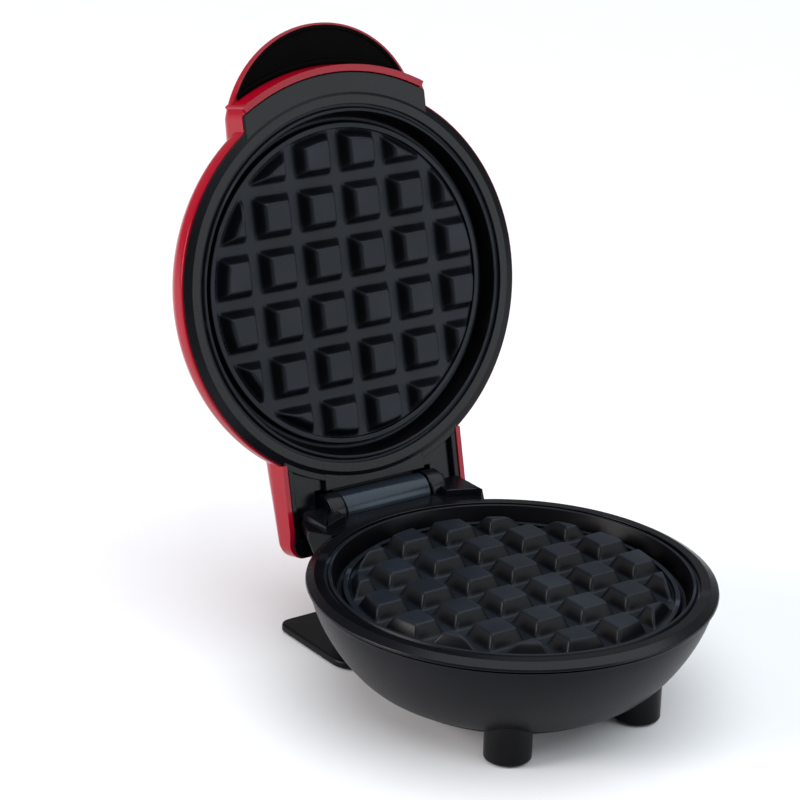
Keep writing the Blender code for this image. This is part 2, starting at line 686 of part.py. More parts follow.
def base_rim(parent, made):
    """The bezel round the lower plate, with gussets, hinge block, lugs and screw bosses."""
    core = BODY_RADIUS - RIM_OVERHANG
    ring = turned("base_rim", at_depth(ring_profile(RIM_ROUND, RIM_EDGE_DEPTH, core), -1),
                  parent, made)
    gusset = loft("gusset", [gusset_outline(0, GUSSET_DEPTH),
                             gusset_outline(0, GUSSET_DEPTH + GUSSET_THICKNESS),
                             gusset_outline(GUSSET_TAPER, GUSSET_FOOT_DEPTH)], parent)
    bulk = slab("hinge_block", rounded_outline(BLOCK_HALF, BLOCK_FRONT, COLUMN_REAR, BLOCK_ROUND),
                -(COLUMN_TOP - GAP), -(GUSSET_DEPTH + GUSSET_THICKNESS / 2), parent)
    join(gusset, bulk)
    for side in (-1, 1):
        lug = round_bar("lug", LUG_RADIUS, (side * LUG_INNER, HINGE_Y, -HINGE_DROP),
                        (side * LUG_OUTER, HINGE_Y, -HINGE_DROP), parent, steps=ROUND_STEPS)
        foot = block("lug_foot", (min(side * LUG_INNER, side * LUG_OUTER), BODY_RADIUS,
                                  -(HINGE_DROP + LUG_RADIUS)),
                     (max(side * LUG_INNER, side * LUG_OUTER), HINGE_Y,
                      -(GUSSET_DEPTH + GUSSET_THICKNESS / 3)), parent)
        ear = block("ear", (min(side * EAR_INNER, side * EAR_HALF), VISOR_ROOT,
                            -(GUSSET_DEPTH + GUSSET_THICKNESS / 2)),
                    (max(side * EAR_INNER, side * EAR_HALF), HINGE_Y - EAR_REAR_INSET, EAR_RISE),
                    parent)
        cut(ear, turned("ear_front", [(0, -OVERRUN - OVERRUN),
                                      (COVER_RADIUS + EAR_ROOM, -OVERRUN - OVERRUN),
                                      (COVER_RADIUS + EAR_ROOM, EAR_RISE + OVERRUN),
                                      (0, EAR_RISE + OVERRUN)], parent))
        join(gusset, lug, foot, ear)
    cut(gusset, bowl_clearance("rim_clearance", GAP, parent))
    swing = round_bar("barrel_room", BARREL_RADIUS + GAP, (-LUG_INNER, HINGE_Y, -HINGE_DROP),
                      (LUG_INNER, HINGE_Y, -HINGE_DROP), parent, steps=ROUND_STEPS)
    bore = round_bar("lug_bore", PIN_RADIUS + GAP, (-LUG_OUTER - OVERRUN, HINGE_Y, -HINGE_DROP),
                     (LUG_OUTER + OVERRUN, HINGE_Y, -HINGE_DROP), parent, steps=16)
    cord_z = -(COLUMN_TOP - BUSHING_LIFT)
    passage = round_bar("cord_passage", BUSHING_RADIUS + GAP,
                        (0, BLOCK_FRONT, cord_z), (0, COLUMN_REAR + OVERRUN, cord_z), parent)
    cut(gusset, swing, bore, passage)
    join(ring, gusset)
    bosses = many_bars("rim_bosses", boss_places(), BOSS_RADIUS,
                       -(BOWL_DEPTH - BOWL_WALL - GAP), -(SHELF_BACK - SHELF_THICKNESS / 2), parent)
    join(ring, bosses)
    bores = many_bars("rim_boss_bores", boss_places(), SCREW_BORE,
                      -(BOWL_DEPTH + OVERRUN), -(BOWL_DEPTH - BOWL_WALL - SCREW_BITE), parent, SMALL_STEPS)
    holes = many_bars("rim_plate_holes", plate_screw_places(), SCREW_HOLE,
                      -(SHELF_BACK + OVERRUN), -(SHELF_DEPTH - OVERRUN / 2), parent, SMALL_STEPS)
    cut(ring, bores, holes)
    return ring


def bottom_cover(parent, made):
    """The cover under the bowl: a shallow tray, two front legs and the rear stand."""
    inside = BOTTOM_DEPTH - BOTTOM_WALL
    tray = ([(0, BOTTOM_DEPTH)]
            + arc(BOTTOM_RADIUS - BOTTOM_ROUND, BOTTOM_DEPTH - BOTTOM_ROUND, BOTTOM_ROUND, 90, 0, 2)
            + [(BOTTOM_RADIUS, BOTTOM_TOP), (BOTTOM_RADIUS - BOTTOM_WALL, BOTTOM_TOP),
               (BOTTOM_RADIUS - BOTTOM_WALL, inside), (0, inside)])
    cover = turned("bottom_cover", at_depth(tray, -1), parent, made)
    legs = leg_places()
    leg_top = BOWL_DEPTH - LEG_RISE
    for x, y in legs:
        leg = turned("leg", at_depth([(0, leg_top), (LEG_RADIUS, leg_top)]
                                     + arc(LEG_RADIUS - LEG_ROUND, LEG_DEPTH - LEG_ROUND,
                                           LEG_ROUND, 0, 90, 2)
                                     + [(0, LEG_DEPTH)], -1), parent, steps=ROUND_STEPS, centre=(x, y))
        cut(leg, bowl_clearance("leg_clearance", LEG_FIT, parent))
        join(cover, leg)
    column = slab("column", rounded_outline(COLUMN_HALF, COLUMN_FRONT, COLUMN_REAR, COLUMN_ROUND,
                                            COLUMN_ROUND),
                  -(LEG_DEPTH - STAND_THICKNESS / 2), -COLUMN_TOP, parent)
    cut(column, bowl_clearance("column_clearance", LEG_FIT, parent))
    stand = slab("stand", rounded_outline(STAND_HALF, STAND_FRONT, STAND_REAR, STAND_ROUND,
                                          STAND_ROUND + STAND_ROUND),
                 -LEG_DEPTH, -(LEG_DEPTH - STAND_THICKNESS), parent)
    join(cover, column, stand)
    bosses = many_bars("cover_bosses", boss_places(), INNER_BOSS_RADIUS,
                       -(inside + BOTTOM_WALL / 2), -(BOTTOM_TOP + LEG_FIT - GAP), parent)
    join(cover, bosses)
    holes = many_bars("cover_holes", boss_places(), SCREW_HOLE,
                      -(LEG_DEPTH + OVERRUN), -(BOTTOM_TOP - OVERRUN), parent, SMALL_STEPS)
    front_seats = many_bars("front_pad_seats", legs, FRONT_PAD_RADIUS + GAP,
                            -(LEG_DEPTH + OVERRUN), -(LEG_DEPTH - PAD_SINK - GAP), parent)
    rear_seats = many_bars("rear_pad_seats", rear_pad_places(), REAR_PAD_RADIUS + GAP,
                           -(LEG_DEPTH + OVERRUN), -(LEG_DEPTH - PAD_SINK - GAP), parent)
    recesses = many_bars("cover_head_recesses", boss_places(), HEAD_WELL_RADIUS,
                         -(LEG_DEPTH + OVERRUN), -SEAT_DEPTH, parent)
    cut(cover, holes, recesses, front_seats, rear_seats)
    return cover


def leg_places():
    """Plan positions of the two front legs."""
    x = LEG_CIRCLE * math.cos(LEG_ANGLE)
    y = LEG_CIRCLE * math.sin(LEG_ANGLE)
    return [(side * x, -y) for side in (-1, 1)]


def rear_pad_places():
    """Plan positions of the two pads under the rear stand."""
    return [(side * (STAND_HALF - REAR_PAD_INSET), STAND_REAR - REAR_PAD_INSET) for side in (-1, 1)]


def foot_pads(parent, made):
    """Four rubber pads, each set into its recess and standing out of it."""
    kinds = (("front_foot_pad", leg_places(), FRONT_PAD_RADIUS),
             ("rear_foot_pad", rear_pad_places(), REAR_PAD_RADIUS))
    for stem, places, radius in kinds:
        for (x, y), hand in zip(places, ("left", "right")):
            pad = turned(stem + "_" + hand,
                         at_depth([(0, LEG_DEPTH - PAD_SINK), (radius, LEG_DEPTH - PAD_SINK),
                                   (radius, RIM_HEIGHT - PAD_STAND / 2),
                                   (radius - PAD_STAND / 2, RIM_HEIGHT), (0, RIM_HEIGHT)], -1),
                         parent, made, steps=ROUND_STEPS, centre=(x, y))
            pad.name = stem + "_" + hand


def hinge_pin(parent, made):
    """The steel pin through both lugs and the lid's barrel."""
    reach = LUG_OUTER + PIN_END
    return round_bar("hinge_pin", PIN_RADIUS, (-reach, HINGE_Y, -HINGE_DROP),
                     (reach, HINGE_Y, -HINGE_DROP), parent, made, steps=16)


def cord_bushing(parent, made):
    """The bush in the hinge block that a power cord would leave through."""
    z = -(COLUMN_TOP - BUSHING_LIFT)
    body = round_bar("cord_bushing", BUSHING_RADIUS,
                     (0, COLUMN_REAR - BUSHING_LENGTH, z), (0, COLUMN_REAR + GAP * 2, z),
                     parent, made)
    flange = round_bar("bushing_flange", BUSHING_FLANGE, (0, COLUMN_REAR + GAP, z),
                       (0, COLUMN_REAR + GAP + PIN_RADIUS, z), parent, end_radius=BUSHING_RADIUS)
    bore = round_bar("bushing_bore", CORD_BORE, (0, COLUMN_REAR - BUSHING_LENGTH - OVERRUN, z),
                     (0, COLUMN_REAR + OVERRUN + OVERRUN, z), parent, steps=16)
    join(body, flange)
    cut(body, bore)
    return body


def dome_curve(radius, height, skirt):
    """Points of the dome from its skirt to its crown, as a superellipse."""
    points = []
    for i in range(DOME_STEPS + 1):
        share = math.cos(math.radians(90) * i / DOME_STEPS)
        up_share = (1 - share ** DOME_OUT_POWER) ** (1 / DOME_UP_POWER)
        points.append((radius * share if i < DOME_STEPS else 0, skirt + (height - skirt) * up_share))
    return points


def dome_solid(name, inset, bottom, parent, made=None):
    """The dome as a solid, or its hollow when inset by the wall."""
    profile = ([(0, bottom), (COVER_RADIUS - inset, bottom)]
               + dome_curve(COVER_RADIUS - inset, DOME_HEIGHT - inset, SKIRT_TOP))
    return turned(name, profile, parent, made)


def visor_outline(inset):
    """Plan of the visor: straight sides, then an elliptic front."""
    half = VISOR_HALF - inset
    semi_x, semi_y = VISOR_SEMI_X - inset, VISOR_SEMI_Y - inset
    start = math.acos(min(1.0, half / semi_x))
    points = [(half, -VISOR_ROOT)]
    for i in range(VISOR_STEPS + 1):
        angle = start + (math.pi - 2 * start) * i / VISOR_STEPS
        points.append((semi_x * math.cos(angle), -VISOR_CENTRE - semi_y * math.sin(angle)))
    points.append((-half, -VISOR_ROOT))
    return points


def tail_outline(inset):
    """Plan of the tail: a rounded oblong behind the dome."""
    points = rounded_outline(TAIL_HALF - inset, TAIL_ROOT, TAIL_REAR - inset, TAIL_ROUND - inset)
    return points


def bonnet(name, outline, root, length, crown, fall, side, bottom, drop, parent, made=None):
    """A hollow-looking hood over a plan: flat walls, a round edge and a falling crown.

    Rings shrink from the outline towards the middle of its root. Each ring's height is the side
    height plus the crown's rise times the root of one less the ring's share to EDGE_POWER.
    """
    middle = Vector((0, root))
    rings = [[(x, y, bottom) for x, y in outline]]
    for share in BONNET_SHARES:
        ring = []
        for x, y in outline:
            place = middle + (Vector((x, y)) - middle) * share
            along_share = min(1.0, max(0.0, (abs(place.y) - abs(root)) / length))
            top = crown - fall * along_share ** FALL_POWER
            rise_share = math.sqrt(max(0.0, 1 - share ** EDGE_POWER))
            ring.append((place.x, place.y, side - drop + (top - side) * rise_share))
        rings.append(ring)
    return loft(name, rings, parent, made)


def visor(name, inset, drop, bottom, parent, made=None):
    reach = VISOR_CENTRE + VISOR_SEMI_Y - VISOR_ROOT
    return bonnet(name, visor_outline(inset), -VISOR_ROOT, reach, VISOR_CROWN, VISOR_FALL,
                  VISOR_SIDE, bottom, drop, parent, made)


def tail(name, inset, drop, bottom, parent, made=None):
    return bonnet(name, tail_outline(inset), TAIL_ROOT, TAIL_REAR - TAIL_ROOT, TAIL_CROWN,
                  TAIL_FALL, TAIL_SIDE, bottom, drop, parent, made)


def lid_cover(parent, made):
    """The coloured shell: dome, handle visor with its grip wall, tail and four bosses."""
    shell = dome_solid("lid_cover", 0, COVER_BOTTOM, parent, made)
    handle = visor("handle_bulk", 0, 0, VISOR_BOTTOM, parent)
    far = BODY_RADIUS + VISOR_CENTRE
    recess = turned("finger_recess", [(GRIP_WALL_OUTER, -OVERRUN), (far, -OVERRUN),
                                      (far, VISOR_RIM), (GRIP_WALL_OUTER, VISOR_RIM)], parent)
    cut(handle, recess)
    join(shell, handle, tail("tail_bulk", 0, 0, FACE_DEPTH, parent))
    lip_room = turned("lip_room", [(0, -OVERRUN), (BODY_RADIUS + GAP, -OVERRUN),
                                   (BODY_RADIUS + GAP, COVER_BOTTOM), (0, COVER_BOTTOM)], parent)
    cut(shell, lip_room, dome_solid("dome_hollow", COVER_WALL, -OVERRUN, parent))
    hollow = visor("visor_hollow", VISOR_WALL, COVER_WALL, -OVERRUN, parent)
    grip = turned("grip_wall", [(GRIP_WALL_INNER, -OVERRUN - OVERRUN),
                                (GRIP_WALL_OUTER, -OVERRUN - OVERRUN),
                                (GRIP_WALL_OUTER, DOME_HEIGHT), (GRIP_WALL_INNER, DOME_HEIGHT)],
                  parent)
    cut(hollow, grip)
    cut(shell, hollow, tail("tail_hollow", TAIL_WALL, TAIL_TOP_WALL, -OVERRUN, parent))
    bosses = many_bars("cover_posts", boss_places(), BOSS_RADIUS, COVER_BOSS_DEPTH,
                       DOME_HEIGHT, parent)
    combine(bosses, dome_solid("boss_limit", BOSS_SKIN, -OVERRUN, parent), "INTERSECT")
    join(shell, bosses)
    bores = many_bars("cover_post_bores", boss_places(), SCREW_BORE,
                      COVER_BOSS_DEPTH - OVERRUN, COVER_BOSS_DEPTH + SCREW_BITE / 2, parent, SMALL_STEPS)
    lens_hole = round_bar("lens_hole", LENS_RADIUS + GAP, (0, LENS_Y, SKIRT_TOP),
                          (0, LENS_Y, DOME_HEIGHT + OVERRUN), parent)
    cut(shell, bores, lens_hole)
    return shell


def handle_liner(parent, made):
    """The black insert that closes the visor from below."""
    liner = visor("handle_liner", VISOR_WALL + GAP, COVER_WALL + GAP, -OVERRUN, parent, made)
    below = block("liner_cut", (-VISOR_HALF - OVERRUN, -(VISOR_CENTRE + VISOR_SEMI_Y + OVERRUN),
                                -OVERRUN - OVERRUN),
                  (VISOR_HALF + OVERRUN, 0, VISOR_RIM + GAP), parent)
    inner = turned("liner_inner", [(0, -OVERRUN - OVERRUN),
                                   (GRIP_WALL_OUTER + GAP, -OVERRUN - OVERRUN),
                                   (GRIP_WALL_OUTER + GAP, DOME_HEIGHT + OVERRUN),
                                   (0, DOME_HEIGHT + OVERRUN)], parent)
    cut(liner, below, inner)
    return liner


def ear_pocket(side, parent):
    """The roof over one of the base's ears, which closes the flap above it."""
    inner = EAR_WINDOW_INNER - POCKET_LAP
    lug_side = LUG_OUTER + LUG_CLEARANCE
    outer = WINDOW_HALF + POCKET_LAP
    edge = FLAP_EDGE - POCKET_LAP
    outline = [(inner, VISOR_ROOT), (inner, edge), (lug_side, edge), (lug_side, HINGE_Y),
               (outer, HINGE_Y), (outer, VISOR_ROOT)]
    low = EAR_RISE + POCKET_ROOM
    return slab("ear_pocket", [(side * x, y) for x, y in outline], low, low + POCKET_THICKNESS,
                parent)


def lid_housing(parent, made):
    """The black ring of the lid, with its front land, hinge flap, barrel and screw wells."""
    ring = turned("lid_housing", at_depth(ring_profile(LID_ROUND, LID_LIP_DEPTH, LID_CORE), 1),
                  parent, made)
    half = TAIL_HALF - TAIL_WALL - GAP
    flap = slab("flap", rounded_outline(half, TAIL_ROOT, TAIL_REAR - TAIL_WALL - GAP,
                                        TAIL_ROUND - TAIL_WALL - GAP),
                FRAME_DEPTH, FRAME_DEPTH + FRAME_THICKNESS, parent)
    window = block("window", (-WINDOW_HALF, FLAP_EDGE, -OVERRUN),
                   (WINDOW_HALF, HINGE_Y + WINDOW_REACH, SKIRT_TOP), parent)
    within = turned("flap_inner", [(0, -OVERRUN), (LID_CORE - GAP, -OVERRUN),
                                   (LID_CORE - GAP, SKIRT_TOP), (0, SKIRT_TOP)], parent)
    cut(flap, window, within)
    pockets = []
    for side in (-1, 1):
        room = block("ear_window", (min(side * EAR_WINDOW_INNER, side * WINDOW_HALF),
                                    VISOR_ROOT, -OVERRUN),
                     (max(side * EAR_WINDOW_INNER, side * WINDOW_HALF), FLAP_EDGE + OVERRUN,
                      SKIRT_TOP), parent)
        cut(room, turned("ear_window_front", [(0, -OVERRUN - OVERRUN),
                                              (BODY_RADIUS + GAP, -OVERRUN - OVERRUN),
                                              (BODY_RADIUS + GAP, SKIRT_TOP + OVERRUN),
                                              (0, SKIRT_TOP + OVERRUN)], parent))
        cut(flap, room)
        pocket = ear_pocket(side, parent)
        cut(pocket, turned("pocket_inner", [(0, -OVERRUN), (LID_CORE - FACE_DEPTH, -OVERRUN),
                                            (LID_CORE - FACE_DEPTH, DOME_HEIGHT),
                                            (0, DOME_HEIGHT)], parent))
        pockets.append(pocket)
    land = turned("front_land", [(LID_CORE - GAP, FRAME_DEPTH), (GRIP_WALL_INNER - GAP, FRAME_DEPTH),
                                 (GRIP_WALL_INNER - GAP, FRAME_DEPTH + FRAME_THICKNESS),
                                 (LID_CORE - GAP, FRAME_DEPTH + FRAME_THICKNESS)], parent)
    combine(land, visor("land_limit", VISOR_WALL + GAP, COVER_WALL, -OVERRUN, parent), "INTERSECT")
    barrel = round_bar("barrel", BARREL_RADIUS, (-BARREL_HALF, HINGE_Y, -HINGE_DROP),
                       (BARREL_HALF, HINGE_Y, -HINGE_DROP), parent, steps=ROUND_STEPS)
    web = block("web", (-(BARREL_HALF - GAP), WEB_FRONT, WEB_DEPTH),
                (BARREL_HALF - GAP, HINGE_Y, WEB_DEPTH + WEB_THICKNESS), parent)
    cut(web, within)
    join(ring, flap, land, web, barrel, *pockets)
    bore = round_bar("barrel_bore", PIN_RADIUS + GAP,
                     (-BARREL_HALF - OVERRUN, HINGE_Y, -HINGE_DROP),
                     (BARREL_HALF + OVERRUN, HINGE_Y, -HINGE_DROP), parent, steps=16)
    wells = many_bars("head_wells_bulk", boss_places(), BOSS_RADIUS + HEAD_WELL_FLOOR / 2,
                      SHELF_BACK - SHELF_THICKNESS / 2, SHELF_BACK + HEAD_WELL_DEPTH, parent)
    join(ring, wells)
    head_rooms = many_bars("head_wells", boss_places(), HEAD_WELL_RADIUS,
                           SHELF_DEPTH - OVERRUN,
                           SHELF_BACK + HEAD_WELL_DEPTH - HEAD_WELL_FLOOR, parent)
    holes = many_bars("housing_boss_holes", boss_places(), SCREW_HOLE,
                      SHELF_DEPTH, SHELF_BACK + HEAD_WELL_DEPTH + OVERRUN, parent, SMALL_STEPS)
    plate_holes = many_bars("housing_plate_holes", plate_screw_places(), SCREW_HOLE,
                            SHELF_DEPTH - OVERRUN / 2, SHELF_BACK + OVERRUN, parent, SMALL_STEPS)
    cut(ring, bore, head_rooms, holes, plate_holes)
    return ring


def heating_element(name, side, parent, made):
    """A tube bent to an open ring, its two ends turned away from the plate."""
    z = side * ELEMENT_DEPTH
    start = math.radians(90) + ELEMENT_OPEN_ANGLE / 2
    sweep = math.radians(360) - ELEMENT_OPEN_ANGLE
    ring = []
    for i in range(ELEMENT_POINTS + 1):
        angle = start + sweep * i / ELEMENT_POINTS
        ring.append(Vector((ELEMENT_RADIUS * math.cos(angle), ELEMENT_RADIUS * math.sin(angle), z)))
    rise = Vector((0, 0, side * TERMINAL_RISE))

    def turned_end(tip, inward):
        bend = []
        for i in range(1, 4):
            angle = math.radians(30 * i)
            bend.append(tip + inward * TERMINAL_BEND * math.sin(angle)
                        + Vector((0, 0, side * TERMINAL_BEND * (1 - math.cos(angle)))))
        return bend + [bend[-1] + rise]

    first_way = (ring[0] - ring[1]).normalized()
    last_way = (ring[-1] - ring[-2]).normalized()
    points = turned_end(ring[0], first_way)[::-1] + ring + turned_end(ring[-1], last_way)
    curve = bpy.data.curves.new(name, "CURVE")
    curve.dimensions = "3D"
    curve.bevel_depth = TUBE_RADIUS
    curve.bevel_resolution = 1
    curve.use_fill_caps = True
    spline = curve.splines.new("POLY")
    spline.points.add(len(points) - 1)
    for point, place in zip(spline.points, points):
        point.co = (*place, 1)
    bent = bpy.data.objects.new(name + "_path", curve)
    CUTTERS.objects.link(bent)
    bpy.context.view_layer.update()
    mesh = bpy.data.meshes.new_from_object(bent.evaluated_get(bpy.context.evaluated_depsgraph_get()))
    bpy.data.objects.remove(bent, do_unlink=True)
    return add_object(name, mesh, parent, made)


def terminal_places():
    """Plan positions of the element's two upright ends."""
    half_angle = ELEMENT_OPEN_ANGLE / 2
    x = ELEMENT_RADIUS * math.sin(half_angle) - TERMINAL_BEND * math.cos(half_angle)
    y = ELEMENT_RADIUS * math.cos(half_angle) + TERMINAL_BEND * math.sin(half_angle)
    return [(-x, y), (x, y)]


def heat_shield(name, side, parent, made):
    """A pressed dish under the element, clamped by its flange with the plate's screws."""
    flange = SHIELD_FLANGE_DEPTH
    rim = WELL_OUTER - SHIELD_FLANGE_MARGIN
    wall = SHELF_INNER - SHELF_MARGIN
    floor = flange + SHIELD_DROP
    section = [(rim, flange), (rim, flange + SHIELD_THICKNESS),
               (wall, flange + SHIELD_THICKNESS),
               (wall - SHIELD_WALL_RUN, floor + SHIELD_THICKNESS),
               (SHIELD_HOLE, floor + SHIELD_THICKNESS), (SHIELD_HOLE, floor),
               (wall - SHIELD_WALL_RUN - SHIELD_THICKNESS, floor),
               (wall - SHIELD_THICKNESS, flange)]
    shield = turned(name, at_depth(section, side), parent, made, steps=TURN_STEPS // 2)
    low = side * (flange - OVERRUN)
    high = side * (flange + OVERRUN)
    screw_holes = many_bars(name + "_screw_holes", plate_screw_places(), SCREW_HOLE,
                            low, high, parent, SMALL_STEPS)
    boss_room = BOSS_RADIUS + HEAD_WELL_FLOOR / 2 + GAP
    boss_holes = many_bars(name + "_boss_holes", boss_places(), boss_room, low, high, parent)
    end_holes = many_bars(name + "_end_holes", terminal_places(), TUBE_RADIUS + TERMINAL_ROOM,
                          side * floor - OVERRUN, side * floor + OVERRUN, parent)
    cut(shield, screw_holes, boss_holes, end_holes)
    return shield


def thermostat(name, side, parent, made):
    """A snap-disc thermostat: metal cap on the plate, narrower body and two blades."""
    near = BACK_DEPTH + GAP
    body = [(0, near), (THERMOSTAT_RADIUS, near), (THERMOSTAT_RADIUS, near + THERMOSTAT_CAP),
            (THERMOSTAT_BODY_RADIUS, near + THERMOSTAT_CAP),
            (THERMOSTAT_BODY_RADIUS, near + THERMOSTAT_CAP + THERMOSTAT_BODY),
            (0, near + THERMOSTAT_CAP + THERMOSTAT_BODY)]
    switch = turned(name, at_depth(body, side), parent, made, steps=24)
    end = near + THERMOSTAT_CAP + THERMOSTAT_BODY
    for hand in (-1, 1):
        x = hand * BLADE_SPACING / 2
        zs = sorted((side * (end - BLADE_THICKNESS), side * (end + BLADE_LENGTH)))
        blade = block(name + "_blade", (x - BLADE_THICKNESS / 2, -BLADE_WIDTH / 2, zs[0]),
                      (x + BLADE_THICKNESS / 2, BLADE_WIDTH / 2, zs[1]), parent)
        join(switch, blade)
    return switch


def thermal_fuse(parent, made):
    """The one-shot fuse in its sleeve, lying on the back of the lower plate."""
    z = -(BACK_DEPTH + GAP + FUSE_RADIUS)
    return round_bar("thermal_fuse", FUSE_RADIUS, (-FUSE_LENGTH / 2, FUSE_Y, z),
                     (FUSE_LENGTH / 2, FUSE_Y, z), parent, made, steps=16)


def terminal_block(parent, made):
    """The block on the bottom cover where the leads are joined, with its screw wells."""
    floor = BOTTOM_DEPTH - BOTTOM_WALL - GAP
    body = block("terminal_block", (-TERMINAL_WIDTH / 2, TERMINAL_Y - TERMINAL_DEPTH / 2, -floor),
                 (TERMINAL_WIDTH / 2, TERMINAL_Y + TERMINAL_DEPTH / 2,
                  -(floor - TERMINAL_HEIGHT)), parent, made)
    places = [((i - (TERMINAL_WAYS - 1) / 2) * TERMINAL_WIDTH / TERMINAL_WAYS, TERMINAL_Y)
              for i in range(TERMINAL_WAYS)]
    wells = many_bars("terminal_wells", places, TERMINAL_WELL_RADIUS,
                      -(floor - TERMINAL_HEIGHT + TERMINAL_WELL_DEPTH),
                      -(floor - TERMINAL_HEIGHT - OVERRUN), parent, SMALL_STEPS)
    cut(body, wells)
    return body


def dome_height_at(radius, inset):
    """Height of the dome's surface at a distance from its middle."""
    share = radius / (COVER_RADIUS - inset)
    up_share = (1 - share ** DOME_OUT_POWER) ** (1 / DOME_UP_POWER)
    return SKIRT_TOP + (DOME_HEIGHT - inset - SKIRT_TOP) * up_share


def lid_screws(parent, made):
    """Four screws from the plate side, through the housing's wells into the cover's posts."""
    seat = SHELF_BACK + HEAD_WELL_DEPTH - HEAD_WELL_FLOOR - GAP
    tip = COVER_BOSS_DEPTH + SCREW_BITE / 2 - SCREW_RADIUS - GAP
    crown = seat - SCREW_HEAD_HEIGHT
    profile = [(0, crown),
               (SCREW_HEAD_RADIUS - SCREW_RADIUS / 2, crown),
               (SCREW_HEAD_RADIUS, crown + SCREW_RADIUS / 2),
               (SCREW_HEAD_RADIUS, seat),
               (SCREW_RADIUS, seat),
               (SCREW_RADIUS, tip),
               (0, tip + SCREW_RADIUS)]
    for (x, y), label in zip(boss_places(), CORNERS):
        turned("lid_screw_" + label, profile, parent, made, steps=SMALL_STEPS, centre=(x, y))


def indicator(parent, lens_made, lamp_made):
    """The lens that shows through the dome, held by its flange, and the lamp under it."""
    top = dome_height_at(abs(LENS_Y), 0)
    under = dome_height_at(abs(LENS_Y) + LENS_FLANGE, COVER_WALL) - GAP
    low = under - LENS_FLANGE_THICKNESS
    crown = [(LENS_RADIUS * math.sin(math.radians(90) * i / LENS_STEPS),
              top + LENS_CROWN * math.cos(math.radians(90) * i / LENS_STEPS))
             for i in range(LENS_STEPS + 1)]
    turned("indicator_lens", crown + [(LENS_RADIUS, under), (LENS_FLANGE, under),
                                      (LENS_FLANGE, low), (0, low)],
           parent, lens_made, steps=20, centre=(0, LENS_Y))
    lamp_z = low - GAP - LAMP_RADIUS
    round_bar("indicator_lamp", LAMP_RADIUS, (-LAMP_LENGTH / 2, LENS_Y, lamp_z),
              (LAMP_LENGTH / 2, LENS_Y, lamp_z), parent, lamp_made, steps=14)


def world_box():
    """Lowest and highest corners of the finished parts."""
    bpy.context.view_layer.update()
    graph = bpy.context.evaluated_depsgraph_get()
    corners = []
    for obj in PARTS.objects:
        if obj.type == "EMPTY":
            continue
        shown = obj.evaluated_get(graph)
        mesh = shown.to_mesh()
        corners += [shown.matrix_world @ vertex.co for vertex in mesh.vertices]
        shown.to_mesh_clear()
    low = Vector([min(corner[i] for corner in corners) for i in range(3)])
    high = Vector([max(corner[i] for corner in corners) for i in range(3)])
    return low, high


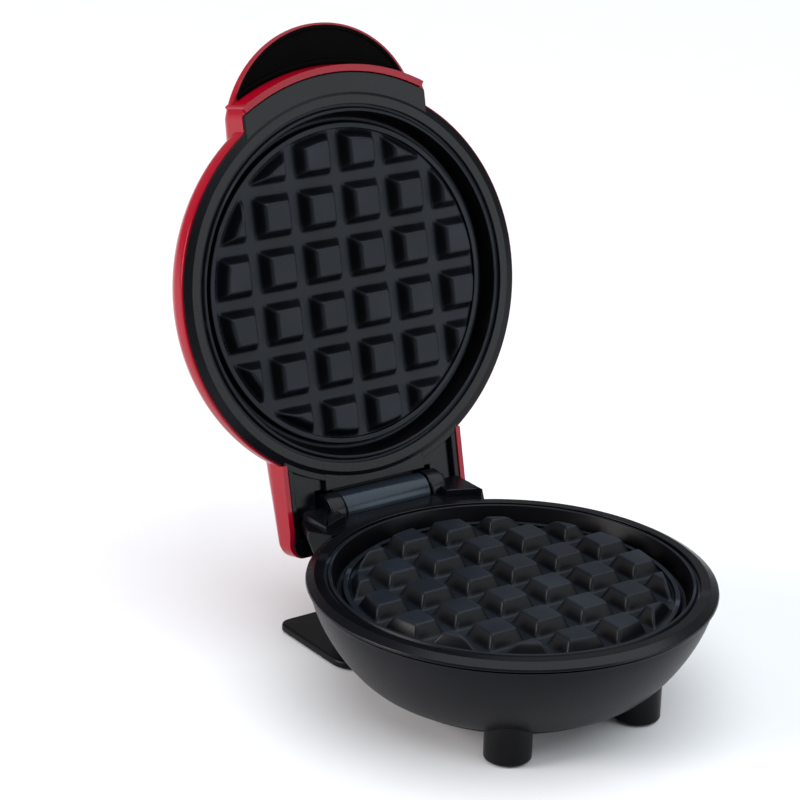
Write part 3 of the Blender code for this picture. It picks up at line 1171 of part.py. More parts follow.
def main():
    clear_scene()
    root = bpy.data.objects.new("waffle_maker_root", None)
    base = bpy.data.objects.new("base_frame", None)
    lid = bpy.data.objects.new("lid_pivot", None)
    for empty in (root, base, lid):
        PARTS.objects.link(empty)
    base.parent = root
    base.location = (0, 0, RIM_HEIGHT)
    lid.parent = base
    lid.location = (0, HINGE_Y, -HINGE_DROP)
    lid.rotation_euler = (-OPEN_ANGLE, 0, 0)

    bowl_black = finish("bowl_black", (0.045, 0.045, 0.052), 0.42, 0.0)
    rim_black = finish("rim_black", (0.020, 0.021, 0.025), 0.35, 0.0)
    nonstick = finish("nonstick_coating", (0.050, 0.055, 0.065), 0.45, 0.0)
    cover_black = finish("cover_black", (0.016, 0.016, 0.018), 0.5, 0.0)
    rubber = finish("black_rubber", (0.012, 0.012, 0.012), 0.8, 0.0)
    red_gloss = finish("red_gloss", (0.33, 0.010, 0.025), 0.18, 0.0)
    steel = finish("zinc_steel", (0.55, 0.56, 0.58), 0.35, 1.0)
    shield_metal = finish("shield_aluminium", (0.70, 0.71, 0.72), 0.4, 1.0)
    sheath = finish("element_sheath", (0.30, 0.29, 0.27), 0.5, 1.0)
    ceramic = finish("thermostat_ceramic", (0.62, 0.58, 0.50), 0.6, 0.0)
    sleeve = finish("fuse_sleeve", (0.80, 0.78, 0.70), 0.7, 0.0)
    block_white = finish("block_white", (0.70, 0.68, 0.62), 0.5, 0.0)
    lens_blue = finish("lens_blue", (0.05, 0.16, 0.55), 0.15, 0.0)
    lamp_glass = finish("lamp_glass", (0.75, 0.60, 0.50), 0.1, 0.0)

    base_bowl(base, bowl_black)
    base_rim(base, rim_black)
    baking_plate("lower_plate", -1, base, nonstick)
    bottom_cover(base, cover_black)
    foot_pads(base, rubber)
    hinge_pin(base, steel)
    cord_bushing(base, rubber)
    heating_element("lower_heating_element", -1, base, sheath)
    heat_shield("lower_heat_shield", -1, base, shield_metal)
    thermostat("lower_thermostat", -1, base, ceramic)
    thermal_fuse(base, sleeve)
    terminal_block(base, block_white)
    under_shield = SHIELD_FLANGE_DEPTH + SHIELD_THICKNESS + GAP
    plate_length = under_shield - BACK_DEPTH + PLATE_SCREW_BITE - SCREW_RADIUS
    screws("lower_plate_screw", plate_screw_places(), ("rear", "left", "right"), -1,
           under_shield, plate_length, base, steel)
    base_bite = SEAT_DEPTH - (BOWL_DEPTH - BOWL_WALL) + SCREW_BITE / 2
    screws("base_screw", boss_places(), CORNERS, -1, SEAT_DEPTH + GAP, base_bite, base, steel)

    lid_cover(lid, red_gloss)
    handle_liner(lid, rim_black)
    lid_housing(lid, rim_black)
    baking_plate("upper_plate", 1, lid, nonstick)
    heating_element("upper_heating_element", 1, lid, sheath)
    heat_shield("upper_heat_shield", 1, lid, shield_metal)
    thermostat("upper_thermostat", 1, lid, ceramic)
    screws("upper_plate_screw", plate_screw_places(), ("rear", "left", "right"), 1,
           under_shield, plate_length, lid, steel)
    lid_screws(lid, steel)
    indicator(lid, lens_blue, lamp_glass)

    bpy.context.view_layer.update()
    bake_all()
    low, high = world_box()
    root.location = (-(low.x + high.x) / 2, -(low.y + high.y) / 2, -low.z)
    bpy.context.view_layer.update()
    print("root at", [round(value, 6) for value in root.location])
    print("size", [round(value, 6) for value in high - low])
    print("hinge at", [round(value, 6) for value in lid.matrix_world.translation])


main()
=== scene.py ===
# %% [markdown]
# # A mini waffle maker, standing open
#
# The real object is two shallow round halves on one hinge: a black bowl with a baking plate on
# top, and a glossy red lid with a plate of its own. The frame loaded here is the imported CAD
# model of it, in metres. It could be rendered as it is, but its roundings are coarse and its
# finishes plain. So every outer piece but the screws gets a finer surface in the same place.
# The screws and the pieces inside keep their CAD meshes under better materials.

# %% Load the frame and keep its box
import json
import math

import bmesh
import bpy
import numpy as np
from mathutils import Matrix, Vector


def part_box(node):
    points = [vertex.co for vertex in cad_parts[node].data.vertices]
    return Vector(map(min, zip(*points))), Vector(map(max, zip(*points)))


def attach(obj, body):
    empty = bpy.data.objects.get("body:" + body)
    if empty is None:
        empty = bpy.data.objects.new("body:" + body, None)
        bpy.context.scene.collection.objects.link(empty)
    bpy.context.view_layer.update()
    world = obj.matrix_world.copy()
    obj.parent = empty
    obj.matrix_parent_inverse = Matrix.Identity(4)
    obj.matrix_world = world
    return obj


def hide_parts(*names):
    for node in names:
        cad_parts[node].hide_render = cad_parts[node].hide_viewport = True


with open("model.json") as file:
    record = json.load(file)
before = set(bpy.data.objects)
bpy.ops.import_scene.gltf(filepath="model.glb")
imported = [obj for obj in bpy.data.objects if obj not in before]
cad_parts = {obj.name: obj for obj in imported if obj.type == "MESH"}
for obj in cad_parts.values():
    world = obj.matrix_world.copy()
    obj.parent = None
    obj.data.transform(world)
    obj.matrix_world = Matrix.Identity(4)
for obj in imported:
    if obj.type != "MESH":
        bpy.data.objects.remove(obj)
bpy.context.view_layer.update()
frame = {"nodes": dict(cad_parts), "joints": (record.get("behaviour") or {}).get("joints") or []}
nodes = frame["nodes"]
print("nodes in the frame:", len(nodes))

# %% [markdown]
# ## Where the two halves go
#
# When the lid is shut, both halves are round about the same upright line. So every new surface
# is worked out in millimetres for the shut waffle maker, with z counted from the parting plane,
# in which the two plates meet. The base then only needs a shift, and the lid is turned back
# about the hinge by the whole angle of its joint. The lid could be drawn where it stands open,
# but then each formula would carry the tilt, and the two plates couldn't share one.

# %% From the shut waffle maker to the open one
MM = 1000
HINGE_Y, HINGE_DROP = 71.2, 0.5
SHUT_HINGE = np.array([0.0, HINGE_Y, -HINGE_DROP])
joint = frame["joints"][0]
HINGE = np.array(joint["pos_m"]) * MM
OPEN_ANGLE = math.radians(joint["range_deg"][1])


def in_base(points):
    """Shifts points of the shut base by the difference of the two hinge places, into metres."""
    return (points - SHUT_HINGE + HINGE) / MM


def in_lid(points):
    """Turns points of the shut lid about the hinge by the angle a, into metres:
    y' = y cos a + z sin a, and z' = z cos a - y sin a."""
    x, y, z = np.moveaxis(points - SHUT_HINGE, -1, 0)
    cos, sin = math.cos(OPEN_ANGLE), math.sin(OPEN_ANGLE)
    return (np.stack([x, y * cos + z * sin, z * cos - y * sin], -1) + HINGE) / MM


print("hinge at", HINGE, "mm, lid open by", round(math.degrees(OPEN_ANGLE)), "degrees")

# %% [markdown]
# ## The camera
#
# The camera's place, turn and lens come from matching the crossings of the upper grid and the
# two rims. Three turn angles could set the same view, but they would have to be worked back
# from the directions that the match gives. The matrix takes those directions as they are.

# %% Camera
RIGHT = (0.8175, -0.5754, 0.0270)
UP = (0.1811, 0.3013, 0.9362)
AHEAD = (0.5468, 0.7604, -0.3505)
EYE = (-0.4898, -0.64796, 0.3928)
MIDDLE_OF_OBJECT = (0, 0, 0.09)

optics = bpy.data.cameras.new("photo_camera")
optics.lens = 126.5
optics.sensor_width = 36.0
camera = bpy.data.objects.new("photo_camera", optics)
behind = tuple(-part for part in AHEAD)
rows = [(*axes, place) for axes, place in zip(zip(RIGHT, UP, behind), EYE)]
camera.matrix_world = Matrix([*rows, (0, 0, 0, 1)])
bpy.context.scene.collection.objects.link(camera)
bpy.context.scene.camera = camera
print("camera", round(math.dist(EYE, MIDDLE_OF_OBJECT) * MM), "mm from the waffle maker")

# %% [markdown]
# ## The floor and the light
#
# The photograph's light is a studio's: a pale room over a pale floor. A broad light from high
# in front whitens the floor here. A low soft lamp in front on the right lays a sheen on the
# upper plate, and a lamp on the left draws the bright line along the red dome. One big lamp
# could light it all, but the black mouldings would lose their outline.

# %% Room and lamps
def aimed(ray):
    """The turn that points a lamp's own -Z along a ray."""
    return Vector(ray).to_track_quat("-Z", "Y").to_matrix().to_4x4()


def lamp(name, kind, colour, energy, matrix):
    """Adds a light of a kind and hands back its data, so that its size can be set."""
    light = bpy.data.lights.new(name, kind)
    light.energy = energy
    light.color = colour
    holder = bpy.data.objects.new(name, light)
    holder.matrix_world = matrix
    bpy.context.scene.collection.objects.link(holder)
    return light


def soft_lamp(name, place, aim, side, watts, colour):
    """A square area lamp at place, turned so that its face looks at aim."""
    ray = np.array(aim) - np.array(place)
    light = lamp(name, "AREA", colour, watts, Matrix.Translation(place) @ aimed(ray))
    light.shape = "SQUARE"
    light.size = side


world = bpy.data.worlds.new("pale_room")
world.use_nodes = True
room = world.node_tree.nodes["Background"].inputs
room["Color"].default_value = (0.95, 0.97, 1.0, 1.0)
room["Strength"].default_value = 0.30
bpy.context.scene.world = world
bpy.context.scene.view_settings.view_transform = "Standard"
soft_lamp("front_lamp", (0.90, -1.37, 0.34), (0.0, 0.0, 0.10), 0.8, 6.0, (0.92, 0.96, 1.0))
soft_lamp("edge_lamp", (-1.2, 0.35, 0.45), (0.0, 0.03, 0.10), 0.6, 16.0, (1.0, 0.95, 0.95))
high_light = lamp("high_light", "SUN", (0.90, 0.95, 1.0), 3.3, aimed((-0.12, 0.30, -0.94)))
high_light.angle = 1.5
print("lamps:", len(bpy.data.lights))

# %% Floor
bpy.ops.mesh.primitive_plane_add(size=12.0)
floor = bpy.context.active_object
floor.name = "studio_floor"
print("floor", floor.dimensions.x, "m wide")

# %% [markdown]
# ## Materials
#
# A real moulding is never one flat colour. It has a broad drift of colour, a fine grain in its
# sheen and its surface, and edges that handling has polished. On the plates those lighter edges
# are partly a painted highlight. Painted or photographed textures could show that, but they need
# unwrapped meshes and files. Noise needs neither. It reads the Object coordinates here, so each
# pattern stays on its piece when the lid moves.

# %% Short ways to write shader nodes
MICRON = 1e-6


def shader_node(tree, kind, values=None, **fields):
    """Adds a node of a kind, sets its own fields, and then the values of its input sockets."""
    node = tree.nodes.new("ShaderNode" + kind)
    for field, value in fields.items():
        setattr(node, field, value)
    for socket, value in (values or {}).items():
        node.inputs[socket].default_value = value
    return node


def noise(tree, place, waves, detail):
    """Noise between 0 and 1 at a place, with so many waves a metre."""
    texture = shader_node(tree, "TexNoise", {"Scale": waves, "Detail": detail})
    tree.links.new(place, texture.inputs["Vector"])
    return texture.outputs["Fac"]


def remapped(tree, value, ends):
    """Carries a value from one range to another, and holds it at the ends."""
    node = shader_node(tree, "MapRange", ends)
    tree.links.new(value, node.inputs["Value"])
    return node.outputs["Result"]


def blended(tree, share, low, high):
    """A colour from low, at the share 0, to high, at 1. Each is three numbers or a socket."""
    node = shader_node(tree, "Mix", data_type="RGBA")
    tree.links.new(share, node.inputs["Factor"])
    for socket, colour in (("A", low), ("B", high)):
        if isinstance(colour, tuple):
            node.inputs[socket].default_value = (*colour, 1.0)
        else:
            tree.links.new(colour, node.inputs[socket])
    return node.outputs["Result"]


# %% One recipe for every moulded, cast or drawn finish
def wear_and_sheen_share(tree, place):
    """How far a spot takes the second colour: the larger of what its edges and its slow patches
    say. This marks wear, and on the plates' edges it is partly a painted highlight.
    """
    pointed = shader_node(tree, "NewGeometry").outputs["Pointiness"]
    edges = remapped(tree, pointed, {"From Min": 0.53, "From Max": 0.62})
    drift = noise(tree, place, 38.0, 4.0)
    patches = remapped(tree, drift, {"From Min": 0.42, "From Max": 0.75, "To Max": 0.35})
    most = shader_node(tree, "Math", operation="MAXIMUM")
    tree.links.new(edges, most.inputs[0])
    tree.links.new(patches, most.inputs[1])
    return most.outputs["Value"]


def finish(name, colour, wear_and_sheen, rough, grain, relief, sockets=None, steep=None):
    """A Principled surface. Its colour goes from colour towards the second colour at edges and in
    patches. On most finishes that is wear, and on the plates' edges it is partly a painted
    highlight.
    Its roughness swings by about a quarter round rough, and its bump is noise of grain waves a
    metre and relief micrometres. Where steep is given, steep walls take that colour by the
    flatness stored on the mesh, as painted shade."""
    surface = bpy.data.materials.new(name)
    surface.use_nodes = True
    tree = surface.node_tree
    place = shader_node(tree, "TexCoord").outputs["Object"]
    tint = blended(tree, wear_and_sheen_share(tree, place), colour, wear_and_sheen)
    if steep:
        flatness = shader_node(tree, "Attribute", attribute_name="flatness").outputs["Fac"]
        tint = blended(tree, flatness, steep, tint)
    fine = noise(tree, place, grain, 3.0)
    sheen = remapped(tree, fine, {"To Min": rough * 0.8, "To Max": rough * 1.25})
    bump = shader_node(tree, "Bump", {"Distance": relief * MICRON, "Strength": 1.0})
    tree.links.new(fine, bump.inputs["Height"])

    shader = tree.nodes["Principled BSDF"].inputs
    tree.links.new(tint, shader["Base Color"])
    tree.links.new(sheen, shader["Roughness"])
    tree.links.new(bump.outputs["Normal"], shader["Normal"])
    for socket, value in (sockets or {}).items():
        shader[socket].default_value = value
    return surface


# %% [markdown]
# ## The finishes
#
# On the real waffle maker the lid is polished plastic, the bowl and the rims are satin, and the
# plates have a bluish coat. Their steep walls are given a darker colour as painted shade. Each
# slot of the record could have a recipe of its own. One recipe with a row of numbers shows better
# how the finishes differ: colour, colour of wear (on the plates' edges partly a painted
# highlight), roughness, grain and relief, then what is special.

# %% The mouldings and the plates
GLOSS = {"Specular IOR Level": 0.10, "Coat Weight": 0.16, "Coat Roughness": 0.05}
DULL = {"Specular IOR Level": 0.12}
SATIN = {"Specular IOR Level": 0.17}
# The liner's dull reflection keeps it as dark as the shade under the visor: painted shade.
DEEP = {"Specular IOR Level": 0.04}
# The bluish tint in the barrel's reflections is a painted sheen.
BLUE_SHEEN_GLOSS = {"Specular IOR Level": 0.32, "Specular Tint": (0.75, 0.88, 1.0, 1.0)}
# The colour of the plates' steep walls: painted shade.
STEEP_WALL_SHADE = (0.001, 0.001, 0.0015)

finishes = {
    "red_gloss": finish(
        "glossy_red_shell", (0.24, 0.001, 0.009), (0.30, 0.002, 0.016), 0.22, 900.0, 12, GLOSS),
    "bowl_black": finish(
        "satin_black_bowl", (0.003, 0.003, 0.0045), (0.008, 0.008, 0.011), 0.36, 1500.0, 12, DULL),
    "rim_black": finish(
        "black_rim", (0.0013, 0.0014, 0.0022), (0.006, 0.006, 0.009), 0.25, 1400.0, 7, SATIN),
    "cover_black": finish(
        "matt_black_cover", (0.002, 0.002, 0.0025), (0.008, 0.008, 0.010), 0.34, 1500.0, 12, DULL),
    # On the plates the lighter edges are partly wear and partly a painted highlight, and the steep
    # walls take painted shade.
    "nonstick_coating": finish(
        "nonstick_plate_painted_shade_and_sheen", (0.0075, 0.010, 0.014), (0.030, 0.036, 0.047), 0.34, 2600.0, 10, DULL,
        STEEP_WALL_SHADE),
    "black_rubber": finish(
        "rubber_pad", (0.010, 0.010, 0.010), (0.02, 0.02, 0.02), 0.75, 1200.0, 40, DULL),
    # The barrel's lighter bluish colour is a painted sheen.
    "barrel_painted_sheen": finish(
        "black_barrel_painted_sheen", (0.004, 0.007, 0.012), (0.012, 0.017, 0.025), 0.22, 1200.0, 6,
        BLUE_SHEEN_GLOSS),
    # The liner's very deep black, darker than the other blacks, is painted shade.
    "liner_painted_shade": finish(
        "black_liner_painted_shade", (0.0005, 0.0004, 0.0004), (0.003, 0.002, 0.002), 0.70, 1500.0, 30,
        DEEP),
}
print("finishes of mouldings and plates:", len(finishes))

# %% Metal, ceramic, glass and the floor
METAL = {"Metallic": 1.0}
finishes |= {
    "zinc_steel": finish(
        "zinc_steel", (0.50, 0.50, 0.52), (0.70, 0.70, 0.70), 0.30, 2200.0, 10, METAL),
    "shield_aluminium": finish(
        "shield_aluminium", (0.70, 0.70, 0.72), (0.86, 0.86, 0.86), 0.35, 1400.0, 20, METAL),
    "element_sheath": finish(
        "element_sheath", (0.16, 0.15, 0.14), (0.34, 0.32, 0.30), 0.48, 1600.0, 30, METAL),
    "thermostat_ceramic": finish(
        "thermostat_ceramic", (0.62, 0.58, 0.50), (0.74, 0.71, 0.64), 0.55, 1800.0, 30),
    "fuse_sleeve": finish(
        "fuse_sleeve", (0.72, 0.70, 0.64), (0.80, 0.79, 0.74), 0.70, 3000.0, 80),
    "block_white": finish(
        "block_white", (0.72, 0.71, 0.68), (0.82, 0.82, 0.80), 0.42, 1500.0, 20),
    "lens_blue": finish(
        "blue_lens", (0.02, 0.10, 0.42), (0.10, 0.25, 0.60), 0.12, 1500.0, 10,
        {"Transmission Weight": 0.45}),
    "lamp_glass": finish(
        "lamp_glass", (0.70, 0.55, 0.40), (0.80, 0.66, 0.52), 0.10, 1500.0, 10,
        {"Transmission Weight": 0.5}),
    "studio_white": finish(
        "studio_white", (0.80, 0.80, 0.80), (0.82, 0.82, 0.82), 0.60, 60.0, 50),
}
for node in nodes.values():
    for slot in node.material_slots:
        slot.material = finishes[slot.material.name]
floor.data.materials.append(finishes["studio_white"])
print("finishes in all:", len(finishes))

# %% [markdown]
# ## From points to a piece
#
# The mouldings are shells, closed all round, with small true roundings. Screw and Bevel
# modifiers could make the round ones, but not a hood or a field of posts. Here numpy works out
# grids of points, and these functions join them by quads, make them face outward, merge seams
# and poles, and put the piece on its body. So all pieces are closed in the same way.

# %% Quads between the points, facing outward
def grid_faces(grid, wraps):
    """The quads of a grid of points: its columns run round, and its rows do too where it wraps."""
    high, wide = grid.shape[:2]
    rows = np.arange(high if wraps else high - 1)
    row, column = np.meshgrid(rows, np.arange(wide), indexing="ij")
    above, beside = (row + 1) % high, (column + 1) % wide
    corners = [row * wide + column, row * wide + beside, above * wide + beside,
               above * wide + column]
    return np.stack(corners, -1).reshape(-1, 4)


def looks_outward(points, faces):
    """Whether a . (b x c + c x d), summed over the quads of a closed surface, is positive.
    That sum is six times the volume, so its sign tells which way the faces look."""
    a, b, c, d = [points[faces[:, corner]] for corner in range(4)]
    return (a * (np.cross(b, c) + np.cross(c, d))).sum() > 0


def outward(points, faces):
    """The faces of a closed surface, read backwards where they look inward."""
    return faces if looks_outward(points, faces) else faces[:, ::-1]


# %% A finished piece on its body
SEAM, SLIVER = 2e-6, 1e-7


def dressed(name, mesh, body, slot, *stands_for, sharp=40.0):
    """Merges points nearer than a seam's width, shades the mesh smooth but for edges of more
    than sharp degrees, and puts the piece on its body in place of the nodes it stands for."""
    build = bmesh.new()
    build.from_mesh(mesh)
    bmesh.ops.remove_doubles(build, verts=build.verts, dist=SEAM)
    bmesh.ops.dissolve_degenerate(build, edges=build.edges, dist=SLIVER)
    build.to_mesh(mesh)
    build.free()
    mesh.shade_smooth()
    mesh.set_sharp_from_angle(angle=math.radians(sharp))
    piece = bpy.data.objects.new(name, mesh)
    piece.data.materials.append(finishes[slot])
    bpy.context.scene.collection.objects.link(piece)
    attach(piece, body)
    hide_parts(*stands_for)
    print(name, "has", len(mesh.polygons), "faces")
    return piece


def made(name, grids, place, body, slot, *stands_for):
    """Joins several (grid, wraps) surfaces into one dressed piece."""
    points, faces, first = [], [], 0
    for grid, wraps in grids:
        points.append(place(grid.reshape(-1, 3)))
        faces.append(outward(points[-1], grid_faces(grid, wraps)) + first)
        first += len(points[-1])
    mesh = bpy.data.meshes.new(name)
    mesh.from_pydata(np.concatenate(points), [], np.concatenate(faces))
    return dressed(name, mesh, body, slot, *stands_for)


# %% [markdown]
# ## The bowl
#
# The real bowl is one satin moulding about 1.8 mm thick: full under the rim, then quickly round
# towards the flat land on which the bottom cover closes it. A scaled sphere would be too slack
# under the rim. A flattened quarter ellipse, with its two powers fitted to the outline, has the
# right fullness, and turning it gives the wall outside and inside at once.

# %% The bowl's wall
FULL_TURN = 2 * math.pi
BOWL_TOP, GROOVE, BOWL_FLOOR, BOWL_LAND, WALL = 2.7, 3.4, 31.5, 32.0, 1.8
BOWL_FOOT, BOWL_SWELL, DOWN_POWER, OUT_POWER = 44.0, 18.4, 1.44, 1.30


def turned(profile, steps=192, start=0.0, sweep=FULL_TURN):
    """Carries a profile of (radius, height) round: x = r cos a, y = r sin a, z = height."""
    gaps = steps if sweep == FULL_TURN else steps - 1
    angle = start + sweep * np.arange(steps) / gaps
    radius, height = np.asarray(profile, float).T
    x, y = np.outer(np.cos(angle), radius), np.outer(np.sin(angle), radius)
    return np.stack([x, y, np.tile(height, (steps, 1))], -1)


def bowl_reach(share, foot=BOWL_FOOT):
    """Radius = foot + swell (1 - s^1.44)^(1/1.30) at the share s of the bowl's depth."""
    return foot + BOWL_SWELL * (1 - share ** DOWN_POWER) ** (1 / OUT_POWER)


def bowl_side(inset):
    """The bowl's side, drawn in by inset. It starts at the groove that shades the rim's edge."""
    share = 1 - np.linspace(1, 0, 60) ** 2.0
    depth = BOWL_TOP + (BOWL_FLOOR - inset - BOWL_TOP) * share
    return np.column_stack([bowl_reach(share, BOWL_FOOT - inset), -np.maximum(depth, GROOVE)])


land = [(43.6, -BOWL_FLOOR), (BOWL_LAND + 0.5, -BOWL_FLOOR), (BOWL_LAND, -BOWL_FLOOR + 0.5),
        (BOWL_LAND, -BOWL_FLOOR + WALL)]
bowl_profile = np.concatenate([bowl_side(0.0), land, bowl_side(WALL)[::-1]])
made("bowl_shell", [(turned(bowl_profile), True)], in_base, "base", "bowl_black", "base_bowl")

# %% [markdown]
# ## The posts of the baking plates
#
# Each plate is a casting with a non-stick coat. Its middle is a grid of drafted square posts,
# cut off on a slope where they meet the round edge. Booleans of tapered blocks would give knife
# edges. A height worked out point by point rounds every edge as the coat does.

# %% The height of the posts
PITCH, POST_HALF, POST_TALL, POST_RUN, POST_CIRCLE = 17.1, 6.7, 4.7, 2.2, 49.35
SQUARENESS, SOFT, BLEND = 14, 0.2, 0.35


def ramp(share):
    """Rises from 0 to 1 with share, with parabolas of half width SOFT where it starts and ends."""
    foot = np.clip(share + SOFT, 0, 2 * SOFT) ** 2 / (4 * SOFT)
    head = np.clip(1 + SOFT - share, 0, 2 * SOFT) ** 2 / (4 * SOFT)
    rise = np.where(share < SOFT, foot, share)
    return np.where(share > 1 - SOFT, 1 - head, rise)


def post_height(x, y):
    """Height over the plate's floor: the post's height times the ramp of the lower of two shares,
    how far up its draft a point is and how far in from the round edge. Where the shares nearly
    meet, (blend - difference)^2 / (4 blend) is taken off, which rounds the ridge. A cell whose
    innermost post corner lies within a post's height of the round edge has no post."""
    across = (x / PITCH - np.floor(x / PITCH) - 0.5) * PITCH
    along = (y / PITCH - np.floor(y / PITCH) - 0.5) * PITCH
    box = (np.abs(across) ** SQUARENESS + np.abs(along) ** SQUARENESS) ** (1 / SQUARENESS)
    draft = (POST_HALF - box) / POST_RUN
    edge = (POST_CIRCLE - np.hypot(x, y)) / POST_RUN
    low = np.minimum(draft, edge)
    low -= np.clip(BLEND - np.abs(draft - edge), 0, None) ** 2 / (4 * BLEND)
    inner_corner = np.hypot(np.abs(x - across) - POST_HALF, np.abs(y - along) - POST_HALF)
    is_post = inner_corner < POST_CIRCLE - POST_TALL
    return POST_TALL * ramp(np.where(is_post, low, -1.0))


middle_of_cell = np.array([PITCH / 2])
print("a post is", post_height(middle_of_cell, middle_of_cell)[0], "mm tall")

# %% [markdown]
# ## The field of posts as a mesh
#
# On the real plate the field is one unbroken face of the casting. It could be a net of rings,
# which is round from the start, but its lines would cross the posts' edges at all angles and
# blur them. So it is a fine square net, and the points of its stepped edge are pulled onto a
# circle. A wall and a fan behind it close it, because an open surface has no inside.

# %% Net, wall and back of the field
FIELD, FIELD_LINES, FLOOR, FIELD_BACK = 49.9, 300, 5.2, 7.0


def round_net():
    """The (x, y) points and the quads of a square net whose edge is pulled onto a circle."""
    lines = np.linspace(-FIELD, FIELD, FIELD_LINES)
    x, y = np.meshgrid(lines, lines, indexing="ij")
    middle = np.hypot((x[1:, 1:] + x[:-1, :-1]) / 2, (y[1:, 1:] + y[:-1, :-1]) / 2)
    row, column = np.nonzero(middle <= FIELD - 0.2)
    first = row * FIELD_LINES + column
    quads = np.stack([first, first + FIELD_LINES, first + FIELD_LINES + 1, first + 1], -1)
    uses = np.bincount(quads.ravel(), minlength=x.size).reshape(x.shape)
    radius = np.maximum(np.hypot(x, y), 1e-6)
    pull = np.where((uses > 0) & (uses < 4), FIELD / radius, 1.0)
    kept, quads = np.unique(quads, return_inverse=True)
    net = np.stack([x * pull, y * pull], -1).reshape(-1, 2)[kept]
    return net, quads.reshape(-1, 4)


def closed_behind(points, quads, back):
    """Adds a wall from each outer edge to the height back, and a fan from there to the middle.
    An outer edge is one that a single quad uses."""
    sides = quads[:, [[0, 1], [1, 2], [2, 3], [3, 0]]].reshape(-1, 2)
    _, which, uses = np.unique(np.sort(sides, 1), axis=0, return_inverse=True, return_counts=True)
    start, end = sides[uses[which.ravel()] == 1].T
    count = len(points)
    behind = points.copy()
    behind[:, 2] = back
    walls = np.stack([end, start, start + count, end + count], 1)
    fan = np.stack([end + count, start + count, np.full(len(start), 2 * count)], 1)
    return np.concatenate([points, behind, [[0.0, 0.0, back]]]), walls, fan


net, net_quads = round_net()
print("field of", len(net), "points and", len(net_quads), "quads")

# %% [markdown]
# ## The plate's ring
#
# Outside the posts the casting is round: a thin rib, a channel, the crest that meets the other
# plate, and a lip under the rim. A bevelled profile object could be turned by a modifier. Here
# each corner is replaced by an arc of its own radius, because the mould has a different
# rounding at every corner, and a support point beside each arc keeps the flats flat.

# %% Corners made round, and the ring's profile
def rounded(corners, steps=5, support=0.25):
    """A closed outline of (a, b, radius) corners with each corner made an arc. An arc's centre
    lies on the corner's bisector, radius over the sine of half the angle away, and the arc runs
    from one side's touching point to the other's, radius over the tangent of half the angle."""
    corners = np.asarray(corners, float)
    place, radius = corners[:, :2], corners[:, 2:]
    to_last, to_next = np.roll(place, 1, 0) - place, np.roll(place, -1, 0) - place
    side_last = np.linalg.norm(to_last, axis=1, keepdims=True)
    side_next = np.linalg.norm(to_next, axis=1, keepdims=True)
    to_last, to_next = to_last / side_last, to_next / side_next
    half = np.arccos(np.clip((to_last * to_next).sum(1, keepdims=True), -1, 1)) / 2
    middle = to_last + to_next
    middle /= np.maximum(np.linalg.norm(middle, axis=1, keepdims=True), 1e-9)
    across = to_next - to_last
    across /= np.linalg.norm(across, axis=1, keepdims=True)
    reach = radius / np.tan(half)
    turn = (math.pi / 2 - half)[:, :, None] * np.linspace(-1, 1, steps + 1)[None, :, None]
    centre = (place + middle * radius / np.sin(half))[:, None, :]
    spoke = middle[:, None] * np.cos(turn) - across[:, None] * np.sin(turn)
    extra = np.minimum(support, (np.minimum(side_last, side_next) - reach) / 3)
    before = (place + to_last * (reach + extra))[:, None]
    after = (place + to_next * (reach + extra))[:, None]
    outline = np.concatenate([before, centre - radius[:, :, None] * spoke, after], 1)
    return outline.reshape(-1, 2)


plate_ring = rounded([
    (FIELD - 0.15, 5.205, 0.0), (50.0, 5.205, 0.05),  # just under the field's edge
    (50.2, 4.2, 0.2), (51.8, 4.2, 0.3),  # rib
    (52.4, 6.5, 0.5), (53.7, 6.5, 0.8),  # channel
    (55.5, 0.15, 0.3), (56.3, 0.15, 0.3),  # crest
    (56.9, 1.25, 0.3), (59.9, 1.25, 0.1), (59.9, 2.4, 0.1), (56.6, 2.4, 0.2),  # lip
    (56.6, 8.1, 0.6), (0.0, 8.1, 0.0), (0.0, 6.9, 0.0), (FIELD - 0.15, 6.9, 0.0),  # back
])
print("plate's ring of", len(plate_ring), "points")

# %% [markdown]
# ## The two plates
#
# The two plates are taken to be twins from one mould drawing, so one function makes both. The
# posts' steep walls are painted darker than their faces, as painted shade. A second material
# could be laid on the walls, but its edge would be hard. A number kept at each point fades from
# one to the other.

# %% Lower and upper plate
def mark_flatness(piece, up):
    """Stores 0 on steep walls and 1 on flats: (|normal . up| - 0.35) / 0.55, held to 0 and 1.
    The plates' finish darkens the walls by it, as painted shade.
    """
    normals = np.zeros(len(piece.data.vertices) * 3)
    piece.data.vertices.foreach_get("normal", normals)
    facing = np.abs(normals.reshape(-1, 3) @ up)
    flatness = piece.data.attributes.new("flatness", "FLOAT", "POINT")
    flatness.data.foreach_set("value", np.clip((facing - 0.35) / 0.55, 0, 1).astype(np.float32))


def plate_surface(name, side, place, body, node):
    """A plate of field and ring. Its height is side times the depth: side is -1 for the lower
    plate and 1 for the upper one."""
    heights = side * (FLOOR - post_height(*net.T))
    field = np.column_stack([net, heights])
    field, walls, fan = closed_behind(field, net_quads, side * FIELD_BACK)
    grid = turned(plate_ring * (1, side))
    field, ring = place(field), place(grid.reshape(-1, 3))
    faces = [net_quads, walls, fan]
    if not looks_outward(field, np.concatenate([net_quads, walls, fan[:, [0, 1, 2, 2]]])):
        faces = [part[:, ::-1] for part in faces]
    faces.append(outward(ring, grid_faces(grid, True)) + len(field))
    mesh = bpy.data.meshes.new(name)
    every_face = [face for part in faces for face in part.tolist()]
    mesh.from_pydata(np.concatenate([field, ring]), [], every_face)
    piece = dressed(name, mesh, body, "nonstick_coating", node, sharp=60.0)
    mark_flatness(piece, place(np.array([0.0, 0.0, MM])) - place(np.zeros(3)))


plate_surface("lower_baking_plate", -1, in_base, "base", "lower_plate")
plate_surface("upper_baking_plate", 1, in_lid, "lid", "upper_plate")

